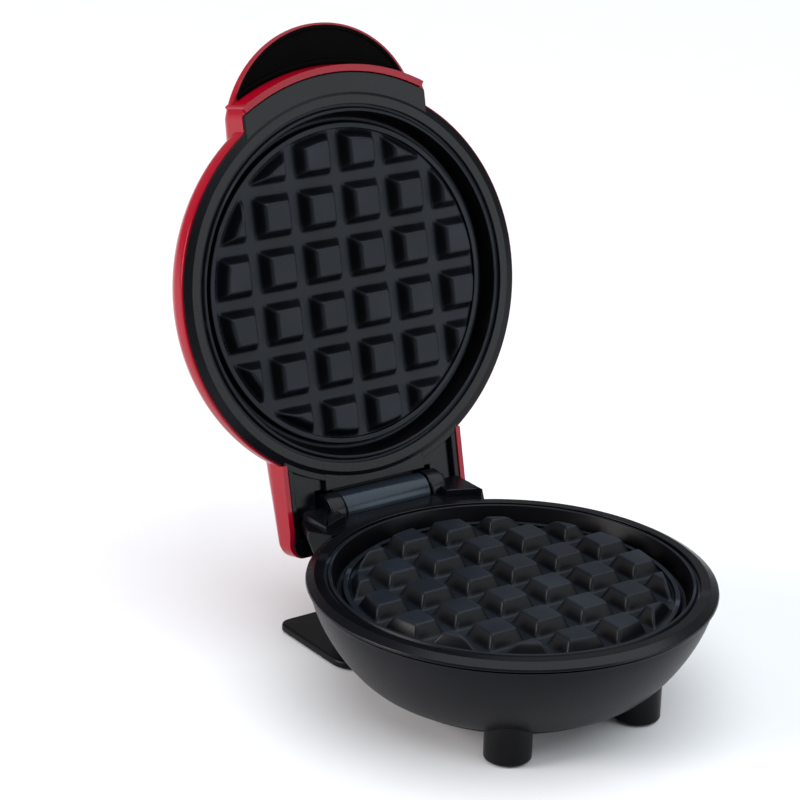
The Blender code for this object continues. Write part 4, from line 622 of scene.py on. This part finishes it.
# %% [markdown]
# ## The two black rings
#
# Both plates lie in a black ring with the same section: a lip that covers the plate's edge, a
# wall beside the plate, and a shelf under it. The two sections could be drawn apart, but only
# the lip's depth and the outer wall's radius differ, so one profile with two numbers is safer.

# %% The ring's section
BODY = 63.5


def ring_section(side, lip, core):
    """The closed outline of the ring, from the lip's inner edge outwards and back by the shelf."""
    outline = rounded([
        (57.8, 0.15, 0.25), (60.7, 0.15, 0.8),  # face of the lip
        (BODY - 0.2, 0.15 + 0.6 * lip, 0.3), (BODY, lip, 0.12), (core, lip, 0.0),  # sloped edge
        (core, 3.9, 0.3), (58.1, 3.9, 0.2), (58.1, 10.0, 0.3),  # outer wall
        (31.3, 10.0, 0.3), (31.3, 8.4, 0.3),  # shelf
        (56.9, 8.4, 0.2), (56.9, 2.7, 0.2), (60.2, 2.7, 0.2),  # inner wall and ledge
        (60.2, 1.0, 0.1), (57.8, 1.0, 0.15),  # underside of the lip
    ], steps=4)
    return outline * (1, side)


base_ring = ring_section(-1, 2.4, 61.1)
lid_ring = ring_section(1, 1.0, 61.5)
print("rings with sections of", len(base_ring), "points")

# %% [markdown]
# ## Plates of any outline
#
# Lugs, flaps and stands are flat parts of a moulding with a rounded edge. An extruded curve
# with a bevel could make them. A stack of outlines, each drawn in a little, does the same with
# a rounding of its own on either face, and joins the other grids without a second tool.

# %% Slabs and the plans they are made of
def at_height(plan, height):
    """Lays a plan of (x, y) at a height, which is one number or one for each point."""
    return np.column_stack([plan, np.broadcast_to(height, len(plan))])


def capped(rows):
    """Closes a tube of rows: the middle of the first row and of the last repeats as a pole."""
    poles = np.repeat(rows.mean(1, keepdims=True), rows.shape[1], 1)
    return np.concatenate([poles[:1], rows, poles[-1:]], 0)


def slab(outline, levels):
    """A plate of any outline: a level (inset, height) is the outline drawn in along its normals.
    The sign of the shoelace sum tells on which side of the outline its inside lies."""
    outline = np.asarray(outline, float)
    along = np.roll(outline, -1, 0) - np.roll(outline, 1, 0)
    along /= np.maximum(np.linalg.norm(along, axis=1, keepdims=True), 1e-9)
    x, y = outline.T
    shoelace = (x * np.roll(y, -1) - y * np.roll(x, -1)).sum()
    inward = np.stack([-along[:, 1], along[:, 0]], 1) * math.copysign(1, shoelace)
    return capped(np.array([at_height(outline + inward * inset, z) for inset, z in levels]))


def edge_levels(low, high, low_round, high_round, steps=4, flat=0.3):
    """The (inset, height) levels of a plate whose lower and upper edges are quarter rounds, with
    a level further in on either face that keeps the flat beside the round flat."""
    turn = np.linspace(0, math.pi / 2, steps + 1)
    foot = np.column_stack([low_round * (1 - np.sin(turn)), low + low_round * (1 - np.cos(turn))])
    head = np.column_stack(
        [high_round * (1 - np.cos(turn)), high - high_round * (1 - np.sin(turn))])
    return [(low_round + flat, low), *foot, *head, (high_round + flat, high)]


def arc(radius, first, last, count):
    """Points of a circle round the upright axis between two angles in degrees."""
    angle = np.radians(np.linspace(first, last, count))
    return np.column_stack([radius * np.cos(angle), radius * np.sin(angle)])


def oblong(half, front, rear, front_round, rear_round, steps=5):
    """A plan from -half to half and from front to rear, with a rounding for either end."""
    return rounded([(-half, front, front_round), (half, front, front_round),
                    (half, rear, rear_round), (-half, rear, rear_round)], steps)


def crosswise(grid):
    """A slab drawn in the (y, z) plane with its levels along x: (y, z, x) becomes (x, y, z)."""
    return grid[..., [2, 0, 1]]


# %% [markdown]
# ## The base's rim: its shoulders
#
# Behind the real ring the moulding spreads into two shoulders that carry the lugs of the hinge.
# Blocks joined to the ring by a boolean would leave a hard seam along the bowl. So the
# shoulders, and the saddle between them, are lofts of plans, one for each depth, whose front
# follows the bowl and whose middle leaves the lid's barrel its room.

# %% Shoulders and saddle
BARREL_ROOM, LUG_IN, SHOULDER_REAR = 6.1, 16.9, 70.5


def bowl_radius(depth):
    """The bowl's outer radius at a depth, from the formula of its side."""
    return bowl_reach(np.clip((depth - BOWL_TOP) / (BOWL_FLOOR - BOWL_TOP), 0, 1))


def front_radius(depth):
    """Where a plan starts: in the ring's wall down to 3.9 mm, 0.2 mm outside the bowl below."""
    return bowl_radius(depth) + 0.2 if depth > 3.9 else 61.2


def tapered(depth):
    """How far the shoulders have drawn in at a depth: up to 3 mm over 8.75 mm."""
    return 3.0 * np.clip((depth - 3.25) / 8.75, 0, 1)


def shoulder_plan(side, depth, draw_in):
    """A shoulder at one depth: its three outer corners and the two beside the barrel."""
    taper, front = tapered(depth) + draw_in, front_radius(depth)
    corners = np.array([
        (LUG_IN, math.sqrt(front ** 2 - LUG_IN ** 2), 0.0), (30.0 - taper, 54.5 - taper, 0.3),
        (34.5 - taper, 61.5 - taper / 2, 0.9), (31.0 - taper, SHOULDER_REAR - taper, 0.9),
        (LUG_IN, SHOULDER_REAR - taper, 0.0),
    ])
    reach = np.hypot(*corners[1, :2])
    corners[1, :2] *= max(reach, front) / reach
    return at_height(rounded(corners) * (side, 1), -depth)


def saddle_plan(depth):
    """Between the lugs the rear edge keeps off the barrel: y = hinge - sqrt(room^2 - height^2)."""
    height, front = depth - HINGE_DROP, front_radius(depth)
    rear = SHOULDER_REAR - tapered(depth)
    if abs(height) < BARREL_ROOM:
        rear = min(rear, HINGE_Y - math.sqrt(BARREL_ROOM ** 2 - height ** 2))
    tilt = math.degrees(math.asin(LUG_IN / front))
    curve = arc(front, 90 - tilt, 90 + tilt, 15)
    return at_height(np.concatenate([curve, [(-LUG_IN, rear), (LUG_IN, rear)]]), -depth)


shoulder_levels = [(0.45, 0.7), (0.45, 0.45), (0.53, 0.2), (0.7, 0.03), (0.9, 0), (1.4, 0),
                   (2.8, 0), (3.25, 0), (3.3, 0), (3.8, 0), (5, 0), (7, 0), (9, 0), (11.5, 0),
                   (12, 0.2)]
shoulders = [capped(np.array([shoulder_plan(side, *level) for level in shoulder_levels]))
             for side in (-1, 1)]
saddle_depths = [0.45, 0.5, *np.linspace(0.9, 6.59, 16), 6.62, 7, 9, 12]
saddle = capped(np.array([saddle_plan(depth) for depth in saddle_depths]))
print("shoulders of", len(shoulder_levels), "plans, saddle of", len(saddle_depths))

# %% [markdown]
# ## The base's rim: its block, lugs and ears
#
# The block leads the cord in, the two lugs hold the hinge pin, and two ears fill the corners
# under the lid. They could be pieces of their own, but on the real base they are one moulding
# with the ring, so they go into its mesh.

# %% Block, lugs, ears and the whole rim
LUG, LUG_OUT, BLOCK_HALF, BLOCK_REAR = 6.2, 22.4, 22.0, 68.5


def block_plan(depth):
    """The cord block at one depth: its front on the bowl, its two rear corners round."""
    front = bowl_radius(depth) + 0.2
    tilt = math.degrees(math.asin(BLOCK_HALF / front))
    rear = oblong(BLOCK_HALF, 50.0, BLOCK_REAR, 0.0, 4.0)
    rear = rear[rear[:, 1] > 64.0]
    return at_height(np.concatenate([arc(front, 90 + tilt, 90 - tilt, 15), rear]), -depth)


block_depths = [*np.linspace(6.2, 25.0, 14), 25.5, 25.7]
block = capped(np.array([block_plan(depth) for depth in block_depths]))
bow = np.radians(np.linspace(-90, 188.2, 40))
eye = np.column_stack([HINGE_Y + LUG * np.cos(bow), LUG * np.sin(bow) - HINGE_DROP])
lug_outline = np.concatenate([[(63.5, -6.7), (68.0, -6.7)], eye, [(63.5, -1.38)]])
lug = crosswise(slab(lug_outline, edge_levels(LUG_IN, LUG_OUT, 0.45, 0.45)))
ear_outline = np.concatenate([
    arc(64.7, 61.7, 72.0, 9),
    [(20.0, 65.0), (20.0, 70.6), (20.3, 70.9), (30.0, 70.9), (30.7, 70.2), (30.7, 64.0)],
])
rim_parts = [(turned(base_ring), True)]
rim_parts += [(part, False) for part in (saddle, block, *shoulders)]
for side in (-1, 1):
    ear = slab(ear_outline * (side, 1), edge_levels(-1.85, 2.0, 0.1, 0.45))
    rim_parts += [(lug * (side, 1, 1), False), (ear, False)]
made("base_bezel", rim_parts, in_base, "base", "rim_black", "base_rim")

# %% [markdown]
# ## The lid's rim: its ring, land and flap
#
# In front of the lid's ring a land reaches under the visor. Behind it a flap closes the tail
# from below: a thin frame round a window, through which the lugs swing, with two roofed pockets
# for the base's ears. The pockets' roofs and a sheet higher in the tail are black sheets over the
# red inside of the tail, put there as painted shade for that hollow. One slab with holes cut by
# booleans could make the flap. Bars laid over each other are simpler, and each stays closed by
# itself.

# %% Land and flap
RING_SIDE, LAND_SIDE, LAND_HALF = 60.4, 67.9, 34.6
FRONT = -90


def land_tilt(radius):
    """The angle from the front at which a circle reaches the land's end."""
    return math.degrees(math.asin(LAND_HALF / radius))


near, far = land_tilt(RING_SIDE), land_tilt(LAND_SIDE)
land_plan = np.concatenate([arc(RING_SIDE, FRONT - near, FRONT + near, 41),
                            arc(LAND_SIDE, FRONT + far, FRONT - far, 41)])
strip_section = rounded([(60.2, 0.5, 0.1), (64.15, 0.5, 0.15), (64.15, 2.75, 0.15),
                         (60.2, 2.75, 0.1)])
strip = turned(strip_section, 60, math.radians(57.2), math.radians(65.6))
rear_bar = oblong(33.6, 78.5, 84.2, 0.2, 3.6)
side_bar = np.array([(31.2, 56.0), (33.0, 54.9), (33.0, 79.5), (31.2, 79.5)])
middle_bar = np.concatenate([[(19.4, 64.6), (-19.4, 64.6)], arc(RING_SIDE, 108.5, 71.5, 15)])
pocket = np.array([(18.9, 59.9), (31.7, 53.9), (31.7, 71.2), (22.8, 71.2), (22.8, 64.1),
                   (18.9, 64.1)])
print("land", round(2 * near), "degrees wide on the ring")

# %% [markdown]
# ## The lid's rim: its web and barrel
#
# A web joins the barrel to the ring, and the barrel turns on the pin between the base's lugs.
# On the real lid all of this is one moulding, and it could be one mesh. The barrel is a piece
# of its own here only because it has a finish of its own: glossier than the rest, with a lighter
# bluish colour and a bluish tint in its reflections that paint on the sheen of its highlight.

# %% Web, barrel and the whole rim
BARREL, BARREL_HALF = 5.8, 16.5
around = np.radians(np.linspace(0, 360, 48, endpoint=False))
circle = np.column_stack([np.cos(around), np.sin(around)])
hinge_line = (HINGE_Y, -HINGE_DROP)
barrel = crosswise(
    slab(circle * BARREL + hinge_line, edge_levels(-BARREL_HALF, BARREL_HALF, 0.4, 0.4)))
web = oblong(16.2, 60.0, 71.2, 0.0, 0.0)
shade_roof = oblong(32.9, 60.0, 82.2, 0.0, 3.0)
thin = edge_levels(0.45, 2.75, 0.2, 0.2, 2)
lid_slabs = [
    slab(land_plan, edge_levels(0.35, 2.75, 0.2, 0.2, 3)),
    slab(rear_bar, edge_levels(0.35, 2.75, 0.25, 0.2, 3)),
    slab(middle_bar, thin),
    slab(web, edge_levels(2.0, 4.6, 0.3, 0.3)),
]
for side in (-1, 1):
    lid_slabs.append(slab(side_bar * (side, 1), thin))
    lid_slabs.append(slab(pocket * (side, 1), edge_levels(2.35, 3.95, 0.1, 0.1, 2)))
# This sheet and the pockets' roofs are black sheets that stand in for the shade inside the tail's
# hollow.
lid_slabs.append(slab(shade_roof, edge_levels(8.2, 9.0, 0.1, 0.1, 2)))
lid_parts = [(turned(lid_ring), True)] + [(part, False) for part in (capped(strip), *lid_slabs)]
made("lid_bezel", lid_parts, in_lid, "lid", "rim_black", "lid_housing")
barrel_piece = made(
    "hinge_barrel", [(barrel, False)], in_lid, "lid", "rim_black", "lid_housing")
# The barrel's finish, lighter and bluish, paints on its sheen.
barrel_piece.data.materials[0] = finishes["barrel_painted_sheen"]

# %% [markdown]
# ## The red cover: its hoods
#
# One glossy moulding makes the whole top of the real lid: the dome, the visor that serves as
# the handle, and the tail that covers the hinge. The visor and the tail are hoods over a plan.
# They could be sculpted by eye. A formula gives both the same flat walls, round shoulder and
# flat crown: each ring of a hood is the plan shrunk towards the middle of its root, and its
# height follows from how far it has shrunk.

# %% A hood over any plan
COVER, SKIRT, CROWN, COVER_WALL = 64.0, 4.6, 28.1, 2.2
FOOT_CIRCLE, TAIL_END, BURIED = 63.8, 79.0, 1.1
VISOR_RIM, ON_LAND, BESIDE_FLAP, FOOT_WALL = 7.9, 1.0, 0.15, 0.3


def dome_rise(share):
    """The dome's rise, as a share of its height: (1 - c^2.30)^(1/1.88) at the share c of its
    radius."""
    return (1 - share ** 2.30) ** (1 / 1.88)


def hood(outline, drop, root, reach, crown, fall, side):
    """Rows of a hood: height = side - drop + (top - side) sqrt(1 - share^7). The top falls off
    beyond the root: top = crown - fall (distance / reach)^1.3."""
    turn = np.linspace(0, 1.42, 18)
    share = np.concatenate([np.cos(turn) ** (2 / 7), np.linspace(0.52, 0.04, 8)])[:, None, None]
    place = np.array([0.0, root]) + (outline - (0.0, root)) * share
    along = np.clip((np.abs(place[..., 1:]) - abs(root)) / reach, 0, 1)
    top = crown - fall * along ** 1.3
    height = side - drop + (top - side) * np.sqrt(1 - share ** 7)
    return np.concatenate([place, height], -1)


def hood_foot(plan, recess=math.inf):
    """Where a hood's wall ends: inside the dome's wall within the ring's circle, and outside it
    on the land, at the tail's end or beside the flap. Beyond the recess it ends at the height
    of the visor's rim, which leaves room for the fingers."""
    reach = np.hypot(*plan.T)
    in_dome = SKIRT + (CROWN - SKIRT) * dome_rise(np.clip(reach / COVER, 0, 1)) - BURIED
    on_land = (plan[:, 1] < 0) | (plan[:, 1] > TAIL_END)
    outside = np.where(on_land, ON_LAND, BESIDE_FLAP)
    return np.select([reach > recess, reach < FOOT_CIRCLE], [VISOR_RIM, in_dome], outside)


def hood_shell(outer, inner, foot, shape):
    """Closes a hood with its inner wall: down the inside, round the foot and up the outside."""
    sheets, lifted = [], foot + FOOT_WALL
    for plan, drop in ((outer, 0.0), (inner, COVER_WALL)):
        wall = hood(plan, drop, **shape)
        wall[..., 2] = np.maximum(wall[..., 2], lifted)
        sheets.append(np.concatenate([[at_height(plan, foot), at_height(plan, lifted)], wall]))
    outside, inside = sheets
    return capped(np.concatenate([inside[::-1], outside]))


# %% [markdown]
# ## The red cover: plans of visor and tail
#
# The visor ends in half an ellipse and the tail in a straight edge with two round corners. A
# drawn curve could serve as the plan, but its points would fall anywhere. Here a close pair of
# points stands wherever the foot steps up or down, so the step is sharp, as moulded.

# %% Visor and tail
HOOD_HALF, HOOD_FRONT, CLOSE = 35.0, 45.0, 0.02
RECESS, CLOSE_ANGLE = 70.4, 0.0006


def flank(last):
    """Distances along a hood's straight side, from its root past the step of its foot."""
    step = math.sqrt(FOOT_CIRCLE ** 2 - HOOD_HALF ** 2)
    even = np.linspace(HOOD_FRONT, last, 9)[:-1]
    return np.sort(np.concatenate([even, [step - CLOSE, step + CLOSE]]))


def visor_plan(inset):
    """Straight sides, then the front half of an ellipse, with close pairs at the recess."""
    half, wide, deep = HOOD_HALF - inset, 36.0 - inset, 34.0 - inset

    def ellipse(angle):
        return np.column_stack([wide * np.cos(angle), -50.0 - deep * np.sin(angle)])

    first = math.acos(half / wide)
    angle = np.linspace(first, math.pi - first, 61)
    cut = np.interp(RECESS, np.hypot(*ellipse(angle).T)[:20], angle[:20])
    pairs = [near + off for near in (cut, math.pi - cut) for off in (-CLOSE_ANGLE, CLOSE_ANGLE)]
    bow = ellipse(np.sort(np.concatenate([angle, pairs])))
    side = flank(-bow[0, 1])
    right = np.column_stack([np.full(len(side), half), -side])
    return np.concatenate([right, bow, right[::-1] * (-1, 1)])


def tail_plan(inset):
    """A rounded oblong behind the dome: straight sides and two quarter circles at the rear."""
    half, rear, corner = HOOD_HALF - inset, 84.5 - inset, 5.0 - inset
    side = flank(rear - corner)
    turn = np.linspace(0, math.pi / 2, 13)
    bow = np.column_stack(
        [half - corner + corner * np.cos(turn), rear - corner + corner * np.sin(turn)])
    edge = np.column_stack([np.linspace(half - corner, 0, 9)[1:], np.full(8, rear)])
    right = np.concatenate([np.column_stack([np.full(len(side), half), side]), bow, edge])
    return np.concatenate([right, right[-2::-1] * (-1, 1)])


VISOR_SHAPE = {"root": -HOOD_FRONT, "reach": 39.0, "crown": 19.5, "fall": 8.2, "side": 9.5}
TAIL_SHAPE = {"root": HOOD_FRONT, "reach": 39.5, "crown": 19.0, "fall": 7.5, "side": 6.5}
visor_out, tail_out = visor_plan(0.0), tail_plan(0.0)
visor = hood_shell(visor_out, visor_plan(1.3), hood_foot(visor_out, RECESS), VISOR_SHAPE)
tail = hood_shell(tail_out, tail_plan(1.7), hood_foot(tail_out), TAIL_SHAPE)
print("visor of", visor.shape[:2], "points, tail of", tail.shape[:2])

# %% [markdown]
# ## The red cover: its dome and grip wall
#
# The dome is the widest part and meets the base all round. Below the visor a thin curved wall
# stops the fingers short of the hot ring. The dome could be part of a sphere, but the real one
# is flatter on top and fuller at the side, so it has two powers of its own, as the bowl has.
# The wall is drawn as a strip, whose height swells a little towards the middle.

# %% Dome, grip wall and the whole cover
def dome_curve(inset):
    """Height = skirt + rise over the share of the radius, for a wall drawn in by inset."""
    share = 1 - np.linspace(0, 1, 64) ** 2
    height = SKIRT + (CROWN - SKIRT - inset) * dome_rise(share)
    return np.column_stack([(COVER - inset) * share, height])


dome_edge = [
    (COVER - COVER_WALL, 3.0), (COVER - COVER_WALL, 1.8), (COVER - 2.0, 1.3), (COVER - 0.4, 1.3),
    (COVER - 0.12, 1.42), (COVER, 1.7), (COVER, 3.0),
]
dome_profile = np.concatenate([dome_edge, dome_curve(0.0), dome_curve(COVER_WALL)[::-1]])

GRIP_FOOT, GRIP_LOW, GRIP_SWELL, GRIP_ARC = 0.15, 11.2, 2.5, 29.4
grip_angle = np.radians(np.linspace(-119.4, -60.6, 60))
off_middle = (np.degrees(grip_angle) - FRONT) / GRIP_ARC
lift = GRIP_LOW + GRIP_SWELL * np.clip(1 - off_middle ** 4, 0, 1)
radius, share = rounded([(68.2, 0.0, 0.05), (70.4, 0.0, 0.05), (70.4, 1.0, 0.0),
                         (68.2, 1.0, 0.0)]).T
grip = np.stack([
    np.outer(np.cos(grip_angle), radius), np.outer(np.sin(grip_angle), radius),
    GRIP_FOOT + share * (lift[:, None] - GRIP_FOOT),
], -1)
cover_parts = [(turned(dome_profile), True), (visor, False), (tail, False), (capped(grip), False)]
made("red_cover", cover_parts, in_lid, "lid", "red_gloss", "lid_cover")

# %% [markdown]
# ## The visor's black liner
#
# A black insert closes the real visor from below. It could be a flat plate, but its edge is
# seen against the red, so it has a thin flange over the visor's rim. Its plan is the visor's,
# drawn in, and cut by a circle just outside the grip wall. Its black is deeper and duller than
# the other blacks: painted shade for the hollow under the visor.

# %% The liner
LINER_CIRCLE = 70.7
wide_plan = visor_plan(0.65)
front_edge = wide_plan[np.hypot(*wide_plan.T) > LINER_CIRCLE]
tilt = math.degrees(math.atan2(front_edge[0, 0], -front_edge[0, 1]))
rear_edge = arc(LINER_CIRCLE, FRONT - tilt, FRONT + tilt, 41)[1:-1]
liner_levels = [(1.6, 8.0), (1.4, 8.0), (1.1, 7.62), (0.5, 7.6), (0.15, 7.66), (0.0, 7.85),
                (0.0, 8.2), (1.5, 10.2), (1.9, 10.2)]
liner_grid = slab(np.concatenate([front_edge, rear_edge]), liner_levels)
liner = made(
    "visor_liner", [(liner_grid, False)], in_lid, "lid", "rim_black", "handle_liner")
# The liner takes a deeper black than the rim: painted shade for the hollow under the visor.
liner.data.materials[0] = finishes["liner_painted_shade"]

# %% [markdown]
# ## What the waffle maker stands on
#
# The real bottom cover is a shallow dish under the bowl with two stub legs in front. Behind, a
# column ends in a wide flat stand, which keeps the open lid from tipping the light base over.
# The parts could be joined by booleans. As one mesh of closed shells that run into each other
# they look the same, and no cut can fail. Rubber pads are let into the feet, where the CAD
# model has them.

# %% Cover, legs, column and stand
LEG_X, LEG_Y, LEG_RADIUS, LEG_FLOOR = 24.92, -33.07, 7.3, 40.9


def stood(profile, x, y, steps=64):
    """A turned profile moved to (x, y)."""
    return turned(profile, steps) + (x, y, 0.0)


def with_depth(corners):
    """Rounds a (radius, depth, rounding) outline and turns depths into heights."""
    return rounded(corners) * (1, -1)


dish = with_depth([(0.0, 31.8, 0.0), (40.5, 31.8, 0.3), (40.5, 34.3, 1.2), (0.0, 34.3, 0.0)])
leg = with_depth([(0.0, 27.0, 0.0), (LEG_RADIUS, 27.0, 0.3), (LEG_RADIUS, LEG_FLOOR, 0.9),
                  (0.0, LEG_FLOOR, 0.0)])
column = slab(oblong(20.0, 38.0, 68.5, 5.0, 5.0), edge_levels(-39.5, -26.0, 0.2, 0.3))
stand = slab(oblong(34.5, 38.0, 78.5, 8.0, 4.0, 8), edge_levels(-LEG_FLOOR, -38.4, 0.4, 0.8))
underside = [(turned(dish), True), (column, False), (stand, False)]
underside += [(stood(leg, side * LEG_X, LEG_Y), True) for side in (-1, 1)]
made("underside_cover", underside, in_base, "base", "cover_black", "bottom_cover")

# %% Pads
PAD_TOP, PAD_FOOT = 40.0, 41.5
base_shift = (HINGE - SHUT_HINGE)[1]
for end, radius in (("front", 5.6), ("rear", 4.5)):
    pad = with_depth([(0.0, PAD_TOP, 0.0), (radius, PAD_TOP, 0.1), (radius, PAD_FOOT, 0.4),
                      (0.0, PAD_FOOT, 0.0)])
    for hand in ("left", "right"):
        name = f"{end}_foot_pad_{hand}"
        x, y = [(low + high) / 2 * MM for low, high in zip(*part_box(name))][:2]
        made("rubber_" + name, [(stood(pad, x, y - base_shift), True)], in_base, "base",
             "black_rubber", name)

# %% [markdown]
# ## Pin, bush and lens
#
# The hinge pin shows its ends beside the lugs, the bush guards the cord's way in, and a small
# blue lens sits in the dome. Their CAD meshes could stay, but would show flat facets close up.
# So they are made again with more steps and softer edges.

# %% Hinge pin
PIN, PIN_HALF = 1.75, 23.0
pin = crosswise(slab(circle * PIN + hinge_line, edge_levels(-PIN_HALF, PIN_HALF, 0.4, 0.4)))
made("steel_hinge_pin", [(pin, False)], in_base, "base", "zinc_steel", "hinge_pin")

# %% Cord bush, turned upright and then laid along y
BUSH_DEPTH = 20.5
bush = turned(rounded([
    (1.8, 60.82, 0.1), (3.6, 60.82, 0.4), (3.6, 68.6, 0.0), (5.0, 68.6, 0.3), (4.7, 70.37, 0.7),
    (1.8, 70.37, 0.4),
]), 64)
laid_bush = np.stack([bush[..., 0], bush[..., 2], bush[..., 1] - BUSH_DEPTH], -1)
made("cord_bush", [(laid_bush, True)], in_base, "base", "black_rubber", "cord_bushing")

# %% Indicator lens
LENS_Y = -32.96
lens_profile = [
    (0.0, 25.65), (1.2, 25.62), (2.1, 25.5), (2.7, 25.25), (3.0, 24.8),  # its dome
    (3.0, 24.5), (3.0, 21.6), (4.4, 21.6), (4.4, 20.35), (0.0, 20.35),  # its neck and flange
]
made("dome_lens", [(stood(lens_profile, 0.0, LENS_Y), True)], in_lid, "lid", "lens_blue",
     "indicator_lens")
